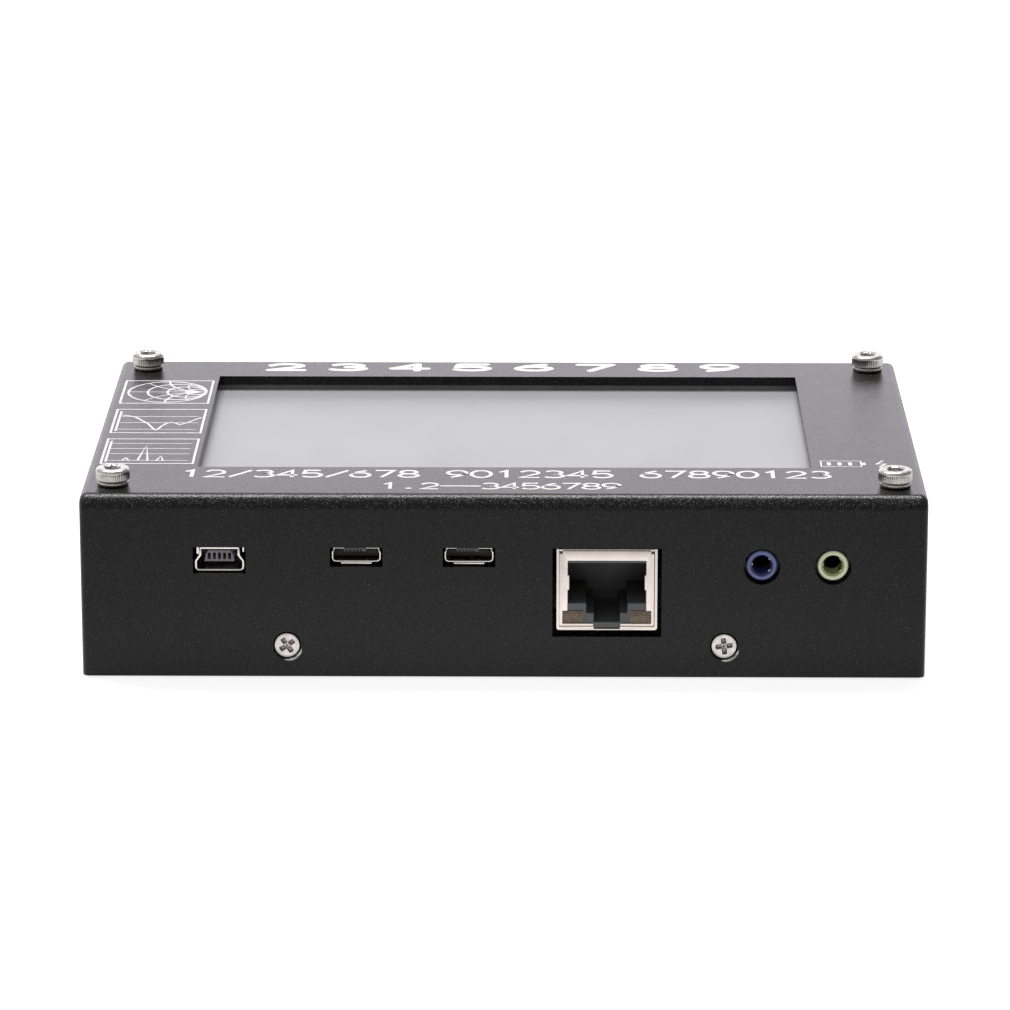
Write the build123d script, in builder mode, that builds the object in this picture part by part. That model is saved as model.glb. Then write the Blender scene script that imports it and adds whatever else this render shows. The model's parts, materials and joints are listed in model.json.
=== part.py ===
from build123d import *
import os

# Handheld antenna analyzer in a folded sheet case.
# X runs along the connector face, Y runs from the connector face to the antenna
# face, Z is up. The origin is the centre of the underside of the case.
# All sizes are in millimetres.

os.makedirs("parts", exist_ok=True)

# --- Case ---------------------------------------------------------------------
CASE_X = 133.0
CASE_Y = 85.0
CASE_Z = 29.5
SHEET = 1.5
EDGE_RADIUS = 1.2
FRONT_EDGE_RADIUS = 2.2
TRAY_GAP = 0.15
WINDOW_X = 98.0
WINDOW_Y = 57.0
WINDOW_INSET = 17.15
DISPLAY_DEPTH = 2.35

FRONT = -CASE_Y / 2
REAR = CASE_Y / 2
RIGHT = CASE_X / 2
INNER_X = CASE_X - 2 * SHEET
INNER_Y = CASE_Y - 2 * SHEET
INNER_FRONT = FRONT + SHEET
INNER_REAR = REAR - SHEET
INNER_RIGHT = RIGHT - SHEET
CEILING = CASE_Z - SHEET
WINDOW_CENTRE = (0, FRONT + WINDOW_INSET + WINDOW_Y / 2)

# --- Main board and the four cover screws --------------------------------------
HOLE_SPACING_X = 123.2
HOLE_SPACING_Y = 72.4
HOLE_INSET = 6.9
BOARD_X = 129.4
BOARD_Y = 80.0
BOARD_T = 1.6
BOARD_TOP = 22.9
BOARD_BASE = BOARD_TOP - BOARD_T
BOARD_CENTRE = (0, FRONT + HOLE_INSET + HOLE_SPACING_Y / 2)
COVER_HOLE_D = 3.2
M3_D = 2.9
M3_HEAD_D = 5.35
M3_HEAD_H = 2.0
M3_HEX = 2.0
M3_HEX_DEPTH = 1.1
M3_HEAD_ROUND = 0.5
M3_LENGTH = 12.0
M3_BORE_D = 3.05
M3_NUT_AF = 5.5
M3_NUT_H = 2.4
WASHER_D = 5.1
WASHER_T = 0.8
WASHER_SLIT = 0.35
SPACER_D = 5.5
HEAD_BASE = CASE_Z + WASHER_T
SCREW_POINTS = [
    (BOARD_CENTRE[0] + sx * HOLE_SPACING_X / 2, BOARD_CENTRE[1] + sy * HOLE_SPACING_Y / 2)
    for sx in (-1, 1)
    for sy in (-1, 1)
]

# --- Tray screws (countersunk, cross recess) -----------------------------------
TRAY_SCREW_Z = 5.1
FRONT_SCREW_X = (-34.1, 34.75)
REAR_SCREW_X = (-20.0, 20.0)
M2_D = 1.9
M2_HEAD_D = 4.0
M2_HEAD_H = 1.0
M2_RECESS = 0.25
M2_LENGTH = 5.5
M2_SINK_D = 5.2
M2_HOLE_D = 2.4
M2_CROSS_L = 2.1
M2_CROSS_W = 0.55
M2_CROSS_DEPTH = 0.7
M2_BORE_D = 2.05
LUG_X = 12.0
LUG_Z = 9.4
LUG_ROUND = 3.0
NUT_D = 4.4
NUT_L = 2.0

# --- Display ---------------------------------------------------------------------
PANEL_X = 103.6
PANEL_Y = 65.2
PANEL_T = 1.2
BACKLIGHT_T = 1.6
FRAME_T = 0.5
FRAME_GAP = 0.2
GASKET_BORDER = 3.0
GASKET_RELIEF = 0.25
PANEL_TOP = CASE_Z - DISPLAY_DEPTH
PANEL_BASE = PANEL_TOP - PANEL_T
BACKLIGHT_BASE = PANEL_BASE - BACKLIGHT_T
FRAME_BASE = BACKLIGHT_BASE - FRAME_T
FRAME_X = PANEL_X + 2 * (FRAME_T + FRAME_GAP)
FRAME_Y = PANEL_Y + 2 * (FRAME_T + FRAME_GAP)
PAD_X = 90.0
PAD_Y = 6.0
PAD_SPACING = 48.0

# --- Connector face: centres along X, heights along Z -----------------------------
PORT_RECESS = 0.8
SHELL_T = 0.3
PORT_TOP = 21.05
MINI_X = -44.6
MINI_W_TOP = 6.3
MINI_W_BASE = 7.9
MINI_H = 4.0
MINI_NECK_TOP = 1.45
MINI_NECK_BASE = 2.7
MINI_L = 9.0
MINI_ROUND = 0.6
MINI_LUG = (0.4, 0.6, 1.0)
MINI_BLOCK_L = 3.0
MINI_TONGUE_W = 4.4
MINI_TONGUE_H = 1.75
MINI_TONGUE_TOP = 20.3
MINI_TONGUE_L = 7.8
MINI_TONGUE_BEVEL = 0.6
MINI_SLOT_H = 0.88
MINI_CUT = (8.3, 4.3)
MINI_CUT_Z = 19.05
MINI_CONTACTS = 5
MINI_PITCH = 0.8
MICRO_X = (-23.1, -5.4)
MICRO_W = 7.7
MICRO_H = 2.15
MICRO_CORNER = 0.85
MICRO_ROUND = 0.36
MICRO_LIP_W = 5.2
MICRO_LIP_H = 0.35
MICRO_L = 5.6
MICRO_TONGUE_W = 4.2
MICRO_TONGUE_H = 0.6
MICRO_CUT = (8.25, 3.1)
MICRO_CUT_Z = 19.6
MICRO_CONTACTS = 5
MICRO_PITCH = 0.65
CONTACT_W = 0.35
CONTACT_T = 0.15
CONTACT_INSET = 1.2
NET_X = 16.26
NET_Z = 14.14
NET_W = 15.9
NET_H = 13.2
NET_L = 21.3
NET_RECESS = 0.6
NET_CUT = (17.15, 14.5)
NET_CUT_Z = 13.89
NET_OPEN_W = 12.36
NET_OPEN_BASE = 8.6
NET_OPEN_TOP = 18.8
NET_FOOT_OPEN = (13.94, 2.1)
NET_NOTCH = (4.2, 0.8)
NET_TAB = (0.25, 2.45)
NET_TAB_Z = 15.35
NET_CORNER_BEVEL = 0.4
NET_CORNER_SLOT = (0.3, 0.5)
NET_CORNER_SLOT_INSET = 0.72
NET_EAR = (0.4, 0.3, 0.2)
NET_CAVITY_W = 12.2
NET_CAVITY_BASE = 11.9
NET_CAVITY_TOP = 18.5
NET_CAVITY_L = 12.6
NET_LATCH_W = 6.5
NET_LATCH_BASE = 10.3
NET_KEY_W = 4.1
NET_KEY_BASE = 8.8
NET_LAMP_W = 3.2
NET_LAMP_H = 1.95
NET_LAMP_L = 14.0
NET_LAMP_OFFSET = 5.35
NET_LAMP_Z = 9.7
NET_CONTACTS = 8
NET_PITCH = 1.02
NET_WIRE = 0.35
NET_WIRE_TOP = 18.3
NET_WIRE_DROP = 1.3
NET_WIRE_FRONT = 3.0
NET_WIRE_REAR = 11.2
NET_POST = (1.0, 3.0)
JACK_X = {"line_in_jack": 40.54, "line_out_jack": 51.7}
JACK_Z = 18.17
JACK_BODY = (8.6, 12.5, 6.26)
JACK_NOSE_D = 4.85
JACK_BORE_D = 3.6
JACK_BORE_L = 12.0
JACK_RECESS = 0.75
JACK_NOSE_ROUND = 0.25
JACK_FACE = 3.1
JACK_HOLE_D = 5.8
JACK_LEG = (0.4, 1.6, 3.4)
JACK_LEG_ROW = 3.6

# --- Things on the main board -----------------------------------------------------
CPU = (13.0, 13.0, 1.2)
CPU_AT = (0.0, 8.0)
BOARD_CHIPS = [(18.0, 8.0, 9.0), (-4.0, -24.0, 5.0), (44.0, -20.0, 7.0), (-18.0, 8.0, 6.0)]
BOARD_CHIP_T = 0.9
CRYSTAL = (5.0, 3.2, 1.0)
CRYSTAL_AT = [(-12.0, -24.0), (-8.0, 20.0)]
PASSIVE = (1.6, 0.8, 0.8)
PASSIVE_GRID = (3.4, 2.6, 6, 4)
PASSIVE_FIELDS = [(-20.0, 22.0), (24.0, 22.0), (-44.0, -20.0)]
CARD_SOCKET = (14.0, 15.0, 1.9)
CARD_SOCKET_AT = (-47.0, 6.0)
CARD = (11.0, 13.0, 0.75)
CARD_SLOT = (11.2, 13.4, 0.95)
BUTTON_AT = {"user_button": (58.0, -10.0), "reset_button": (58.0, 6.0)}
SWITCH_SIDE = 6.0
SWITCH_H = 3.5
SWITCH_ROOF = 0.8
SWITCH_CAVITY_D = 4.7
SWITCH_CAVITY_H = 1.4
PLUNGER_D = 3.5
PLUNGER_FLANGE_D = 4.3
PLUNGER_FLANGE_T = 0.5
PLUNGER_PROUD = 0.75
PLUNGER_GAP = 0.1
DOME_D = 4.2
DOME_T = 0.15

# --- Radio board, plugged in under the main board -----------------------------------
PIN_PITCH = 2.54
SOCKET_H = 8.5
STRIP_H = 2.5
RF_BOARD_X = 68.6
RF_BOARD_Y = 53.3
RF_BOARD_CENTRE = (0.0, 10.05)
HEADER_ROW_SPACING = 48.26
HEADER_STRIPS = [(-3.3, -1, 10), (22.2, -1, 8), (-2.0, 1, 8), (19.6, 1, 6)]
RF_TOP = BOARD_BASE - SOCKET_H - STRIP_H
RF_BASE = RF_TOP - BOARD_T
CAN_X = 30.0
CAN_Y = 24.0
CAN_H = 4.2
CAN_T = 0.4
CAN_AT = (-12.0, 8.0)
RF_CHIPS = [(-18.0, 8.0, 7.0), (-6.0, 8.0, 5.0), (16.0, 14.0, 6.0), (16.0, 2.0, 4.0)]
RF_CHIP_T = 1.0

# --- Antenna connector on the rear face -----------------------------------------------
PORT_AT = (-48.0, 12.0)
FLANGE = 17.5
FLANGE_T = 2.5
FLANGE_RADIUS = 1.0
NECK_D = 13.4
NECK_L = 3.5
THREAD_D = 15.8
THREAD_L = 10.6
THREAD_BEVEL = 0.8
SOCKET_D = 8.1
SOCKET_L = 9.0
INNER_BOSS_D = 11.8
INNER_BOSS_L = 3.5
WALL_HOLE_D = 12.2
CORE_D = 5.0
CORE_L = 3.0
PIN_D = 3.0
PIN_BORE_D = 1.65
PIN_SETBACK = 4.9
PIN_TAIL_D = 1.6
PIN_TAIL_L = 2.5
FLANGE_HOLE_SPACING = 12.7
FLANGE_HOLE_D = 2.7
M25_D = 2.4
M25_HEAD_D = 4.5
M25_HEAD_H = 1.5
M25_HEAD_ROUND = 0.5
M25_BORE_D = 2.6
M25_LENGTH = 7.5
M25_NUT_AF = 5.0
M25_NUT_H = 2.0
M25_SLOT = (0.6, 0.7)
COAX_D = 1.8
COAX_TURN = 4.0
COAX_RUNS = (12.0, 8.0, 9.0, 10.0)

# --- Power switch on the rear face ------------------------------------------------------
SWITCH_AT = (44.0, 12.0)
BEZEL = (15.0, 10.5, 2.0)
BEZEL_BEVEL = 0.65
BARREL = (13.0, 8.6, 9.0)
BARREL_WALL_CUT = (13.3, 8.9)
WELL = (11.9, 7.7, 7.0)
PIVOT_DEPTH = 0.7
ROCKER_R = 5.8
ROCKER_Z = 7.4
ROCKER_END = 3.0
ROCKER_WAIST = 1.9
ROCKER_BASE = 2.6
ROCKER_TILT = 11.0
TRUNNION_D = 1.4
TRUNNION_BORE_D = 1.5
TRUNNION_L = 0.7
TERMINAL = (0.8, 7.0, 4.8)
TERMINAL_SPACING = 7.0

# --- Battery and charger ------------------------------------------------------------------
BATTERY = (64.0, 44.0, 5.2)
BATTERY_CENTRE = (-2.0, 10.0)
BATTERY_RADIUS = 1.6
TAPE_T = 0.4
TAPE_INSET = 6.0
LEAD_D = 1.3
LEAD_TURN = 2.4
BATTERY_LEADS = [(-4.0, 36.5, -20.0), (-7.0, 33.5, -23.0)]
SWITCH_PADS = (46.0, 53.0)
SWITCH_LEAD_TURN = 4.0
CHARGER = (25.6, 17.0, 1.2)
CHARGER_Y = -25.0
CHARGER_PAD_T = 1.4
CHARGER_BASE = SHEET + CHARGER_PAD_T
CHARGER_TOP = CHARGER_BASE + CHARGER[2]
CHARGE_PORT = (7.6, 2.7, 5.4)
CHARGE_CUT = (8.2, 3.2)
CHARGE_TONGUE = (3.6, 3.8, 0.6)
LED_D = 3.0
LED_HOLE_D = 3.1
LED_FLANGE_D = 3.8
LED_L = 4.4
LED_ROUND = 1.0
LED_PROUD = 0.5
LED_Y = -12.0
LED_Z = 5.6
LED_LEG = 0.5
LED_LEG_SPACING = 2.54

LOW = (Align.CENTER, Align.CENTER, Align.MIN)
HIGH = (Align.CENTER, Align.CENTER, Align.MAX)


def upright(y):
    """Vertical plane at a given Y, facing the connector side, X right and Z up."""
    return Plane(origin=(0, y, 0), x_dir=(1, 0, 0), z_dir=(0, -1, 0))


def sideways(x):
    """Vertical plane at a given X, facing right, Y as its first axis and Z up."""
    return Plane(origin=(x, 0, 0), x_dir=(0, 1, 0), z_dir=(1, 0, 0))


def wire_between(points, radii, diameter):
    """Round wire along straight runs joined by tangent arcs, added to the open part."""
    with BuildLine() as route:
        FilletPolyline(*points, radius=radii)
    with BuildSketch(Plane(origin=route.line @ 0, z_dir=route.line % 0)) as section:
        Circle(diameter / 2)
    sweep(section.sketch, path=route.line)


def row(count, pitch, centre):
    """Centres of evenly pitched places about a middle value."""
    return [centre + (index - (count - 1) / 2) * pitch for index in range(count)]


FRONT_SEATS = [Plane((x, FRONT, TRAY_SCREW_Z), (1, 0, 0), (0, -1, 0)) for x in FRONT_SCREW_X]
REAR_SEATS = [Plane((x, REAR, TRAY_SCREW_Z), (-1, 0, 0), (0, 1, 0)) for x in REAR_SCREW_X]
TRAY_SEATS = FRONT_SEATS + REAR_SEATS


def sunk(depth):
    """The tray screw seats moved a given depth into the case."""
    return [Plane(seat.origin - seat.z_dir * depth, seat.x_dir, seat.z_dir) for seat in TRAY_SEATS]


FLANGE_POINTS = [
    (PORT_AT[0] + sx * FLANGE_HOLE_SPACING / 2, PORT_AT[1] + sz * FLANGE_HOLE_SPACING / 2)
    for sx in (-1, 1)
    for sz in (-1, 1)
]

# ==============================================================================
# Case
# ==============================================================================

with BuildPart() as top_cover:
    with BuildSketch(sideways(-RIGHT)):
        with Locations((0, CASE_Z / 2)):
            side_outline = Rectangle(CASE_Y, CASE_Z)
        front_corner = side_outline.vertices().group_by(Axis.Y)[-1].sort_by(Axis.X)[0]
        fillet(front_corner, radius=FRONT_EDGE_RADIUS)
    extrude(amount=CASE_X)
    side_edges = top_cover.faces().filter_by(Axis.X).edges().filter_by(lambda edge: edge.center().Z > SHEET)
    rear_edge = top_cover.edges().filter_by(Axis.X).group_by(Axis.Z)[-1].sort_by(Axis.Y)[-1]
    fillet([*side_edges, rear_edge], radius=EDGE_RADIUS)
    with BuildSketch():
        Rectangle(INNER_X, INNER_Y)
    extrude(amount=CEILING, mode=Mode.SUBTRACT)
    with BuildSketch(Plane.XY.offset(CEILING)):
        with Locations(WINDOW_CENTRE):
            Rectangle(WINDOW_X, WINDOW_Y)
        with Locations(*SCREW_POINTS):
            Circle(COVER_HOLE_D / 2)
    extrude(amount=SHEET, mode=Mode.SUBTRACT)
    with BuildSketch(upright(FRONT)):
        with Locations((MINI_X, MINI_CUT_Z)):
            Rectangle(*MINI_CUT)
        with Locations(*[(x, MICRO_CUT_Z) for x in MICRO_X]):
            Rectangle(*MICRO_CUT)
        with Locations((NET_X, NET_CUT_Z)):
            Rectangle(*NET_CUT)
        with Locations(*[(x, JACK_Z) for x in JACK_X.values()]):
            Circle(JACK_HOLE_D / 2)
    extrude(amount=-SHEET, mode=Mode.SUBTRACT)
    with BuildSketch(upright(INNER_REAR)):
        with Locations(PORT_AT):
            Circle(WALL_HOLE_D / 2)
        with Locations(*FLANGE_POINTS):
            Circle(FLANGE_HOLE_D / 2)
        with Locations(SWITCH_AT):
            Rectangle(*BARREL_WALL_CUT)
    extrude(amount=-SHEET, mode=Mode.SUBTRACT)
    with BuildSketch(sideways(RIGHT)):
        with Locations((CHARGER_Y, CHARGER_TOP + CHARGE_PORT[1] / 2)):
            Rectangle(*CHARGE_CUT)
        with Locations((LED_Y, LED_Z)):
            Circle(LED_HOLE_D / 2)
    extrude(amount=-SHEET, mode=Mode.SUBTRACT)
    with Locations(*TRAY_SEATS):
        CounterSinkHole(radius=M2_HOLE_D / 2, counter_sink_radius=M2_SINK_D / 2, depth=2 * SHEET)
top_cover.part.label = "top_cover"
export_step(top_cover.part, "parts/top_cover.step")

with BuildPart() as bottom_tray:
    with BuildSketch():
        RectangleRounded(INNER_X - 2 * TRAY_GAP, INNER_Y - 2 * TRAY_GAP, EDGE_RADIUS)
    extrude(amount=SHEET)
    for screw_x in FRONT_SCREW_X:
        with Locations((screw_x, INNER_FRONT + SHEET / 2, 0)):
            Box(LUG_X, SHEET, LUG_Z, align=LOW)
    for screw_x in REAR_SCREW_X:
        with Locations((screw_x, INNER_REAR - SHEET / 2, 0)):
            Box(LUG_X, SHEET, LUG_Z, align=LOW)
    lug_tops = bottom_tray.faces().filter_by(Axis.Z).group_by(Axis.Z)[-1]
    fillet(lug_tops.edges().filter_by(Axis.Y), radius=LUG_ROUND)
    with Locations(*sunk(SHEET)):
        Hole(radius=M2_HOLE_D / 2, depth=2 * SHEET)
bottom_tray.part.label = "bottom_tray"
export_step(bottom_tray.part, "parts/bottom_tray.step")

with BuildPart() as tray_screws:
    with Locations(*sunk(M2_RECESS)):
        Cone(bottom_radius=M2_D / 2, top_radius=M2_HEAD_D / 2, height=M2_HEAD_H, align=HIGH)
        Cylinder(radius=M2_D / 2, height=M2_LENGTH, align=HIGH)
        Box(M2_CROSS_L, M2_CROSS_W, M2_CROSS_DEPTH, align=HIGH, mode=Mode.SUBTRACT)
        Box(M2_CROSS_W, M2_CROSS_L, M2_CROSS_DEPTH, align=HIGH, mode=Mode.SUBTRACT)
tray_screws.part.label = "tray_screws"
export_step(tray_screws.part, "parts/tray_screws.step")

with BuildPart() as tray_nuts:
    with Locations(*sunk(2 * SHEET)):
        Cylinder(radius=NUT_D / 2, height=NUT_L, align=HIGH)
        Cylinder(radius=M2_BORE_D / 2, height=NUT_L, align=HIGH, mode=Mode.SUBTRACT)
tray_nuts.part.label = "tray_nuts"
export_step(tray_nuts.part, "parts/tray_nuts.step")

with BuildPart() as cover_screws:
    with BuildSketch(Plane.XY.offset(HEAD_BASE)):
        with Locations(*SCREW_POINTS):
            Circle(M3_HEAD_D / 2)
    extrude(amount=M3_HEAD_H)
    fillet(cover_screws.edges().group_by(Axis.Z)[-1], radius=M3_HEAD_ROUND)
    with BuildSketch(Plane.XY.offset(HEAD_BASE + M3_HEAD_H)):
        with Locations(*SCREW_POINTS):
            RegularPolygon(radius=M3_HEX / 2, side_count=6, major_radius=False)
    extrude(amount=-M3_HEX_DEPTH, mode=Mode.SUBTRACT)
    with BuildSketch(Plane.XY.offset(HEAD_BASE)):
        with Locations(*SCREW_POINTS):
            Circle(M3_D / 2)
    extrude(amount=-M3_LENGTH)
cover_screws.part.label = "cover_screws"
export_step(cover_screws.part, "parts/cover_screws.step")

with BuildPart() as lock_washers:
    with BuildSketch(Plane.XY.offset(CASE_Z)):
        with Locations(*SCREW_POINTS):
            Circle(WASHER_D / 2)
            Circle(M3_BORE_D / 2, mode=Mode.SUBTRACT)
        with Locations(*[(x, y + WASHER_D / 2) for x, y in SCREW_POINTS]):
            Rectangle(WASHER_SLIT, WASHER_D, mode=Mode.SUBTRACT)
    extrude(amount=WASHER_T)
lock_washers.part.label = "lock_washers"
export_step(lock_washers.part, "parts/lock_washers.step")

with BuildPart() as cover_spacers:
    with BuildSketch(Plane.XY.offset(BOARD_TOP)):
        with Locations(*SCREW_POINTS):
            Circle(SPACER_D / 2)
            Circle(COVER_HOLE_D / 2, mode=Mode.SUBTRACT)
    extrude(amount=CEILING - BOARD_TOP)
cover_spacers.part.label = "cover_spacers"
export_step(cover_spacers.part, "parts/cover_spacers.step")

with BuildPart() as board_nuts:
    with BuildSketch(Plane.XY.offset(BOARD_BASE)):
        with Locations(*SCREW_POINTS):
            RegularPolygon(radius=M3_NUT_AF / 2, side_count=6, major_radius=False)
            Circle(M3_BORE_D / 2, mode=Mode.SUBTRACT)
    extrude(amount=-M3_NUT_H)
board_nuts.part.label = "board_nuts"
export_step(board_nuts.part, "parts/board_nuts.step")

# ==============================================================================
# Display
# ==============================================================================

with BuildPart() as window_gasket:
    with BuildSketch(Plane.XY.offset(PANEL_TOP)):
        with Locations(WINDOW_CENTRE):
            Rectangle(WINDOW_X + 2 * GASKET_BORDER, WINDOW_Y + 2 * GASKET_BORDER)
            Rectangle(WINDOW_X + 2 * GASKET_RELIEF, WINDOW_Y + 2 * GASKET_RELIEF, mode=Mode.SUBTRACT)
    extrude(amount=CEILING - PANEL_TOP)
window_gasket.part.label = "window_gasket"
export_step(window_gasket.part, "parts/window_gasket.step")

with BuildPart() as display_glass:
    with BuildSketch(Plane.XY.offset(PANEL_BASE)):
        with Locations(WINDOW_CENTRE):
            Rectangle(PANEL_X, PANEL_Y)
    extrude(amount=PANEL_T)
display_glass.part.label = "display_glass"
export_step(display_glass.part, "parts/display_glass.step")

with BuildPart() as display_backlight:
    with BuildSketch(Plane.XY.offset(BACKLIGHT_BASE)):
        with Locations(WINDOW_CENTRE):
            Rectangle(PANEL_X, PANEL_Y)
    extrude(amount=BACKLIGHT_T)
display_backlight.part.label = "display_backlight"
export_step(display_backlight.part, "parts/display_backlight.step")

with BuildPart() as display_frame:
    with BuildSketch(Plane.XY.offset(FRAME_BASE)):
        with Locations(WINDOW_CENTRE):
            Rectangle(FRAME_X, FRAME_Y)
    extrude(amount=PANEL_TOP - FRAME_BASE - FRAME_GAP)
    with BuildSketch(Plane.XY.offset(BACKLIGHT_BASE)):
        with Locations(WINDOW_CENTRE):
            Rectangle(FRAME_X - 2 * FRAME_T, FRAME_Y - 2 * FRAME_T)
    extrude(amount=PANEL_TOP - BACKLIGHT_BASE, mode=Mode.SUBTRACT)
display_frame.part.label = "display_frame"
export_step(display_frame.part, "parts/display_frame.step")

with BuildPart() as display_pads:
    with BuildSketch(Plane.XY.offset(BOARD_TOP)):
        with Locations(*[(0, WINDOW_CENTRE[1] + side * PAD_SPACING / 2) for side in (-1, 1)]):
            Rectangle(PAD_X, PAD_Y)
    extrude(amount=FRAME_BASE - BOARD_TOP)
display_pads.part.label = "display_pads"
export_step(display_pads.part, "parts/display_pads.step")

# ==============================================================================
# Main board and what is soldered on it
# ==============================================================================

with BuildPart() as main_board:
    with BuildSketch(Plane.XY.offset(BOARD_BASE)):
        with Locations(BOARD_CENTRE):
            RectangleRounded(BOARD_X, BOARD_Y, EDGE_RADIUS)
        with Locations(*SCREW_POINTS):
            Circle(COVER_HOLE_D / 2, mode=Mode.SUBTRACT)
    extrude(amount=BOARD_T)
main_board.part.label = "main_board"
export_step(main_board.part, "parts/main_board.step")

with BuildPart() as microcontroller:
    with Locations((*CPU_AT, BOARD_BASE)):
        Box(*CPU, align=HIGH)
microcontroller.part.label = "microcontroller"
export_step(microcontroller.part, "parts/microcontroller.step")

with BuildPart() as board_chips:
    for chip_x, chip_y, chip_side in BOARD_CHIPS:
        with Locations((chip_x, chip_y, BOARD_BASE)):
            Box(chip_side, chip_side, BOARD_CHIP_T, align=HIGH)
board_chips.part.label = "board_chips"
export_step(board_chips.part, "parts/board_chips.step")

with BuildPart() as board_crystals:
    with Locations(*[(x, y, BOARD_BASE) for x, y in CRYSTAL_AT]):
        Box(*CRYSTAL, align=HIGH)
board_crystals.part.label = "board_crystals"
export_step(board_crystals.part, "parts/board_crystals.step")

with BuildPart() as board_passives:
    for field_x, field_y in PASSIVE_FIELDS:
        with Locations((field_x, field_y, BOARD_BASE)):
            with GridLocations(*PASSIVE_GRID):
                Box(*PASSIVE, align=HIGH)
board_passives.part.label = "board_passives"
export_step(board_passives.part, "parts/board_passives.step")

CARD_BASE = BOARD_BASE - CARD_SOCKET[2] + SHELL_T
with BuildPart() as card_socket:
    with Locations((*CARD_SOCKET_AT, BOARD_BASE)):
        Box(*CARD_SOCKET, align=HIGH)
    with Locations((CARD_SOCKET_AT[0], CARD_SOCKET_AT[1] - SHELL_T, CARD_BASE)):
        Box(*CARD_SLOT, align=LOW, mode=Mode.SUBTRACT)
    with Locations((CARD_SOCKET_AT[0], CARD_SOCKET_AT[1] - CARD_SOCKET[1] / 2, CARD_BASE)):
        Box(CARD_SLOT[0], 2 * SHEET, CARD_SLOT[2], align=LOW, mode=Mode.SUBTRACT)
card_socket.part.label = "card_socket"
export_step(card_socket.part, "parts/card_socket.step")

with BuildPart() as memory_card:
    with Locations((CARD_SOCKET_AT[0], CARD_SOCKET_AT[1] - SHELL_T, CARD_BASE)):
        Box(*CARD, align=LOW)
memory_card.part.label = "memory_card"
export_step(memory_card.part, "parts/memory_card.step")

ROOF_BASE = BOARD_TOP + SWITCH_H - SWITCH_ROOF
with BuildPart() as button_switches:
    with Locations(*[(x, y, BOARD_TOP) for x, y in BUTTON_AT.values()]):
        Box(SWITCH_SIDE, SWITCH_SIDE, SWITCH_H, align=LOW)
    with Locations(*[(x, y, ROOF_BASE) for x, y in BUTTON_AT.values()]):
        Cylinder(radius=SWITCH_CAVITY_D / 2, height=SWITCH_CAVITY_H, align=HIGH, mode=Mode.SUBTRACT)
        Cylinder(radius=PLUNGER_D / 2 + PLUNGER_GAP, height=SWITCH_ROOF, align=LOW, mode=Mode.SUBTRACT)
button_switches.part.label = "button_switches"
export_step(button_switches.part, "parts/button_switches.step")

with BuildPart() as button_domes:
    with Locations(*[(x, y, ROOF_BASE - SWITCH_CAVITY_H) for x, y in BUTTON_AT.values()]):
        Cylinder(radius=DOME_D / 2, height=DOME_T, align=LOW)
button_domes.part.label = "button_domes"
export_step(button_domes.part, "parts/button_domes.step")

PLUNGER_TOP = BOARD_TOP + SWITCH_H + PLUNGER_PROUD
PLUNGER_SHOULDER = ROOF_BASE - PLUNGER_GAP / 2
with BuildPart() as user_button:
    with Locations((*BUTTON_AT["user_button"], PLUNGER_SHOULDER)):
        Cylinder(radius=PLUNGER_D / 2, height=PLUNGER_TOP - PLUNGER_SHOULDER, align=LOW)
        Cylinder(radius=PLUNGER_FLANGE_D / 2, height=PLUNGER_FLANGE_T, align=HIGH)
user_button.part.label = "user_button"
export_step(user_button.part, "parts/user_button.step")

with BuildPart() as reset_button:
    with Locations((*BUTTON_AT["reset_button"], PLUNGER_SHOULDER)):
        Cylinder(radius=PLUNGER_D / 2, height=PLUNGER_TOP - PLUNGER_SHOULDER, align=LOW)
        Cylinder(radius=PLUNGER_FLANGE_D / 2, height=PLUNGER_FLANGE_T, align=HIGH)
reset_button.part.label = "reset_button"
export_step(reset_button.part, "parts/reset_button.step")

# ==============================================================================
# Mini and micro serial ports
# ==============================================================================

PORT_FACE = FRONT + PORT_RECESS
PORT_FOOT = (0.8, 3.0, BOARD_BASE - PORT_TOP)
MINI_STATIONS = [
    (MINI_W_TOP, 0),
    (MINI_W_TOP, MINI_NECK_TOP),
    (MINI_W_BASE, MINI_NECK_BASE),
    (MINI_W_BASE, MINI_H),
]
MINI_OUTLINE = [
    (MINI_X + side * width / 2, PORT_TOP - drop)
    for side, stations in ((1, MINI_STATIONS), (-1, MINI_STATIONS[::-1]))
    for width, drop in stations
]

with BuildPart() as mini_usb_shell:
    with BuildSketch(upright(PORT_FACE)) as mini_outline:
        with BuildLine():
            Polyline(*MINI_OUTLINE, close=True)
        make_face()
        fillet(mini_outline.vertices(), radius=MINI_ROUND)
        offset(amount=-SHELL_T, mode=Mode.SUBTRACT)
    extrude(amount=-MINI_L)
    for side in (-1, 1):
        with Locations((MINI_X + side * MINI_W_TOP / 3, PORT_FACE + MINI_L / 2, PORT_TOP)):
            Box(*PORT_FOOT, align=LOW)
        with Locations((MINI_X + side * (MINI_W_TOP + MINI_LUG[0]) / 2, PORT_FACE + SHELL_T, PORT_TOP)):
            Box(*MINI_LUG, align=(Align.CENTER, Align.MIN, Align.MAX))
mini_usb_shell.part.label = "mini_usb_shell"
export_step(mini_usb_shell.part, "parts/mini_usb_shell.step")

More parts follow.
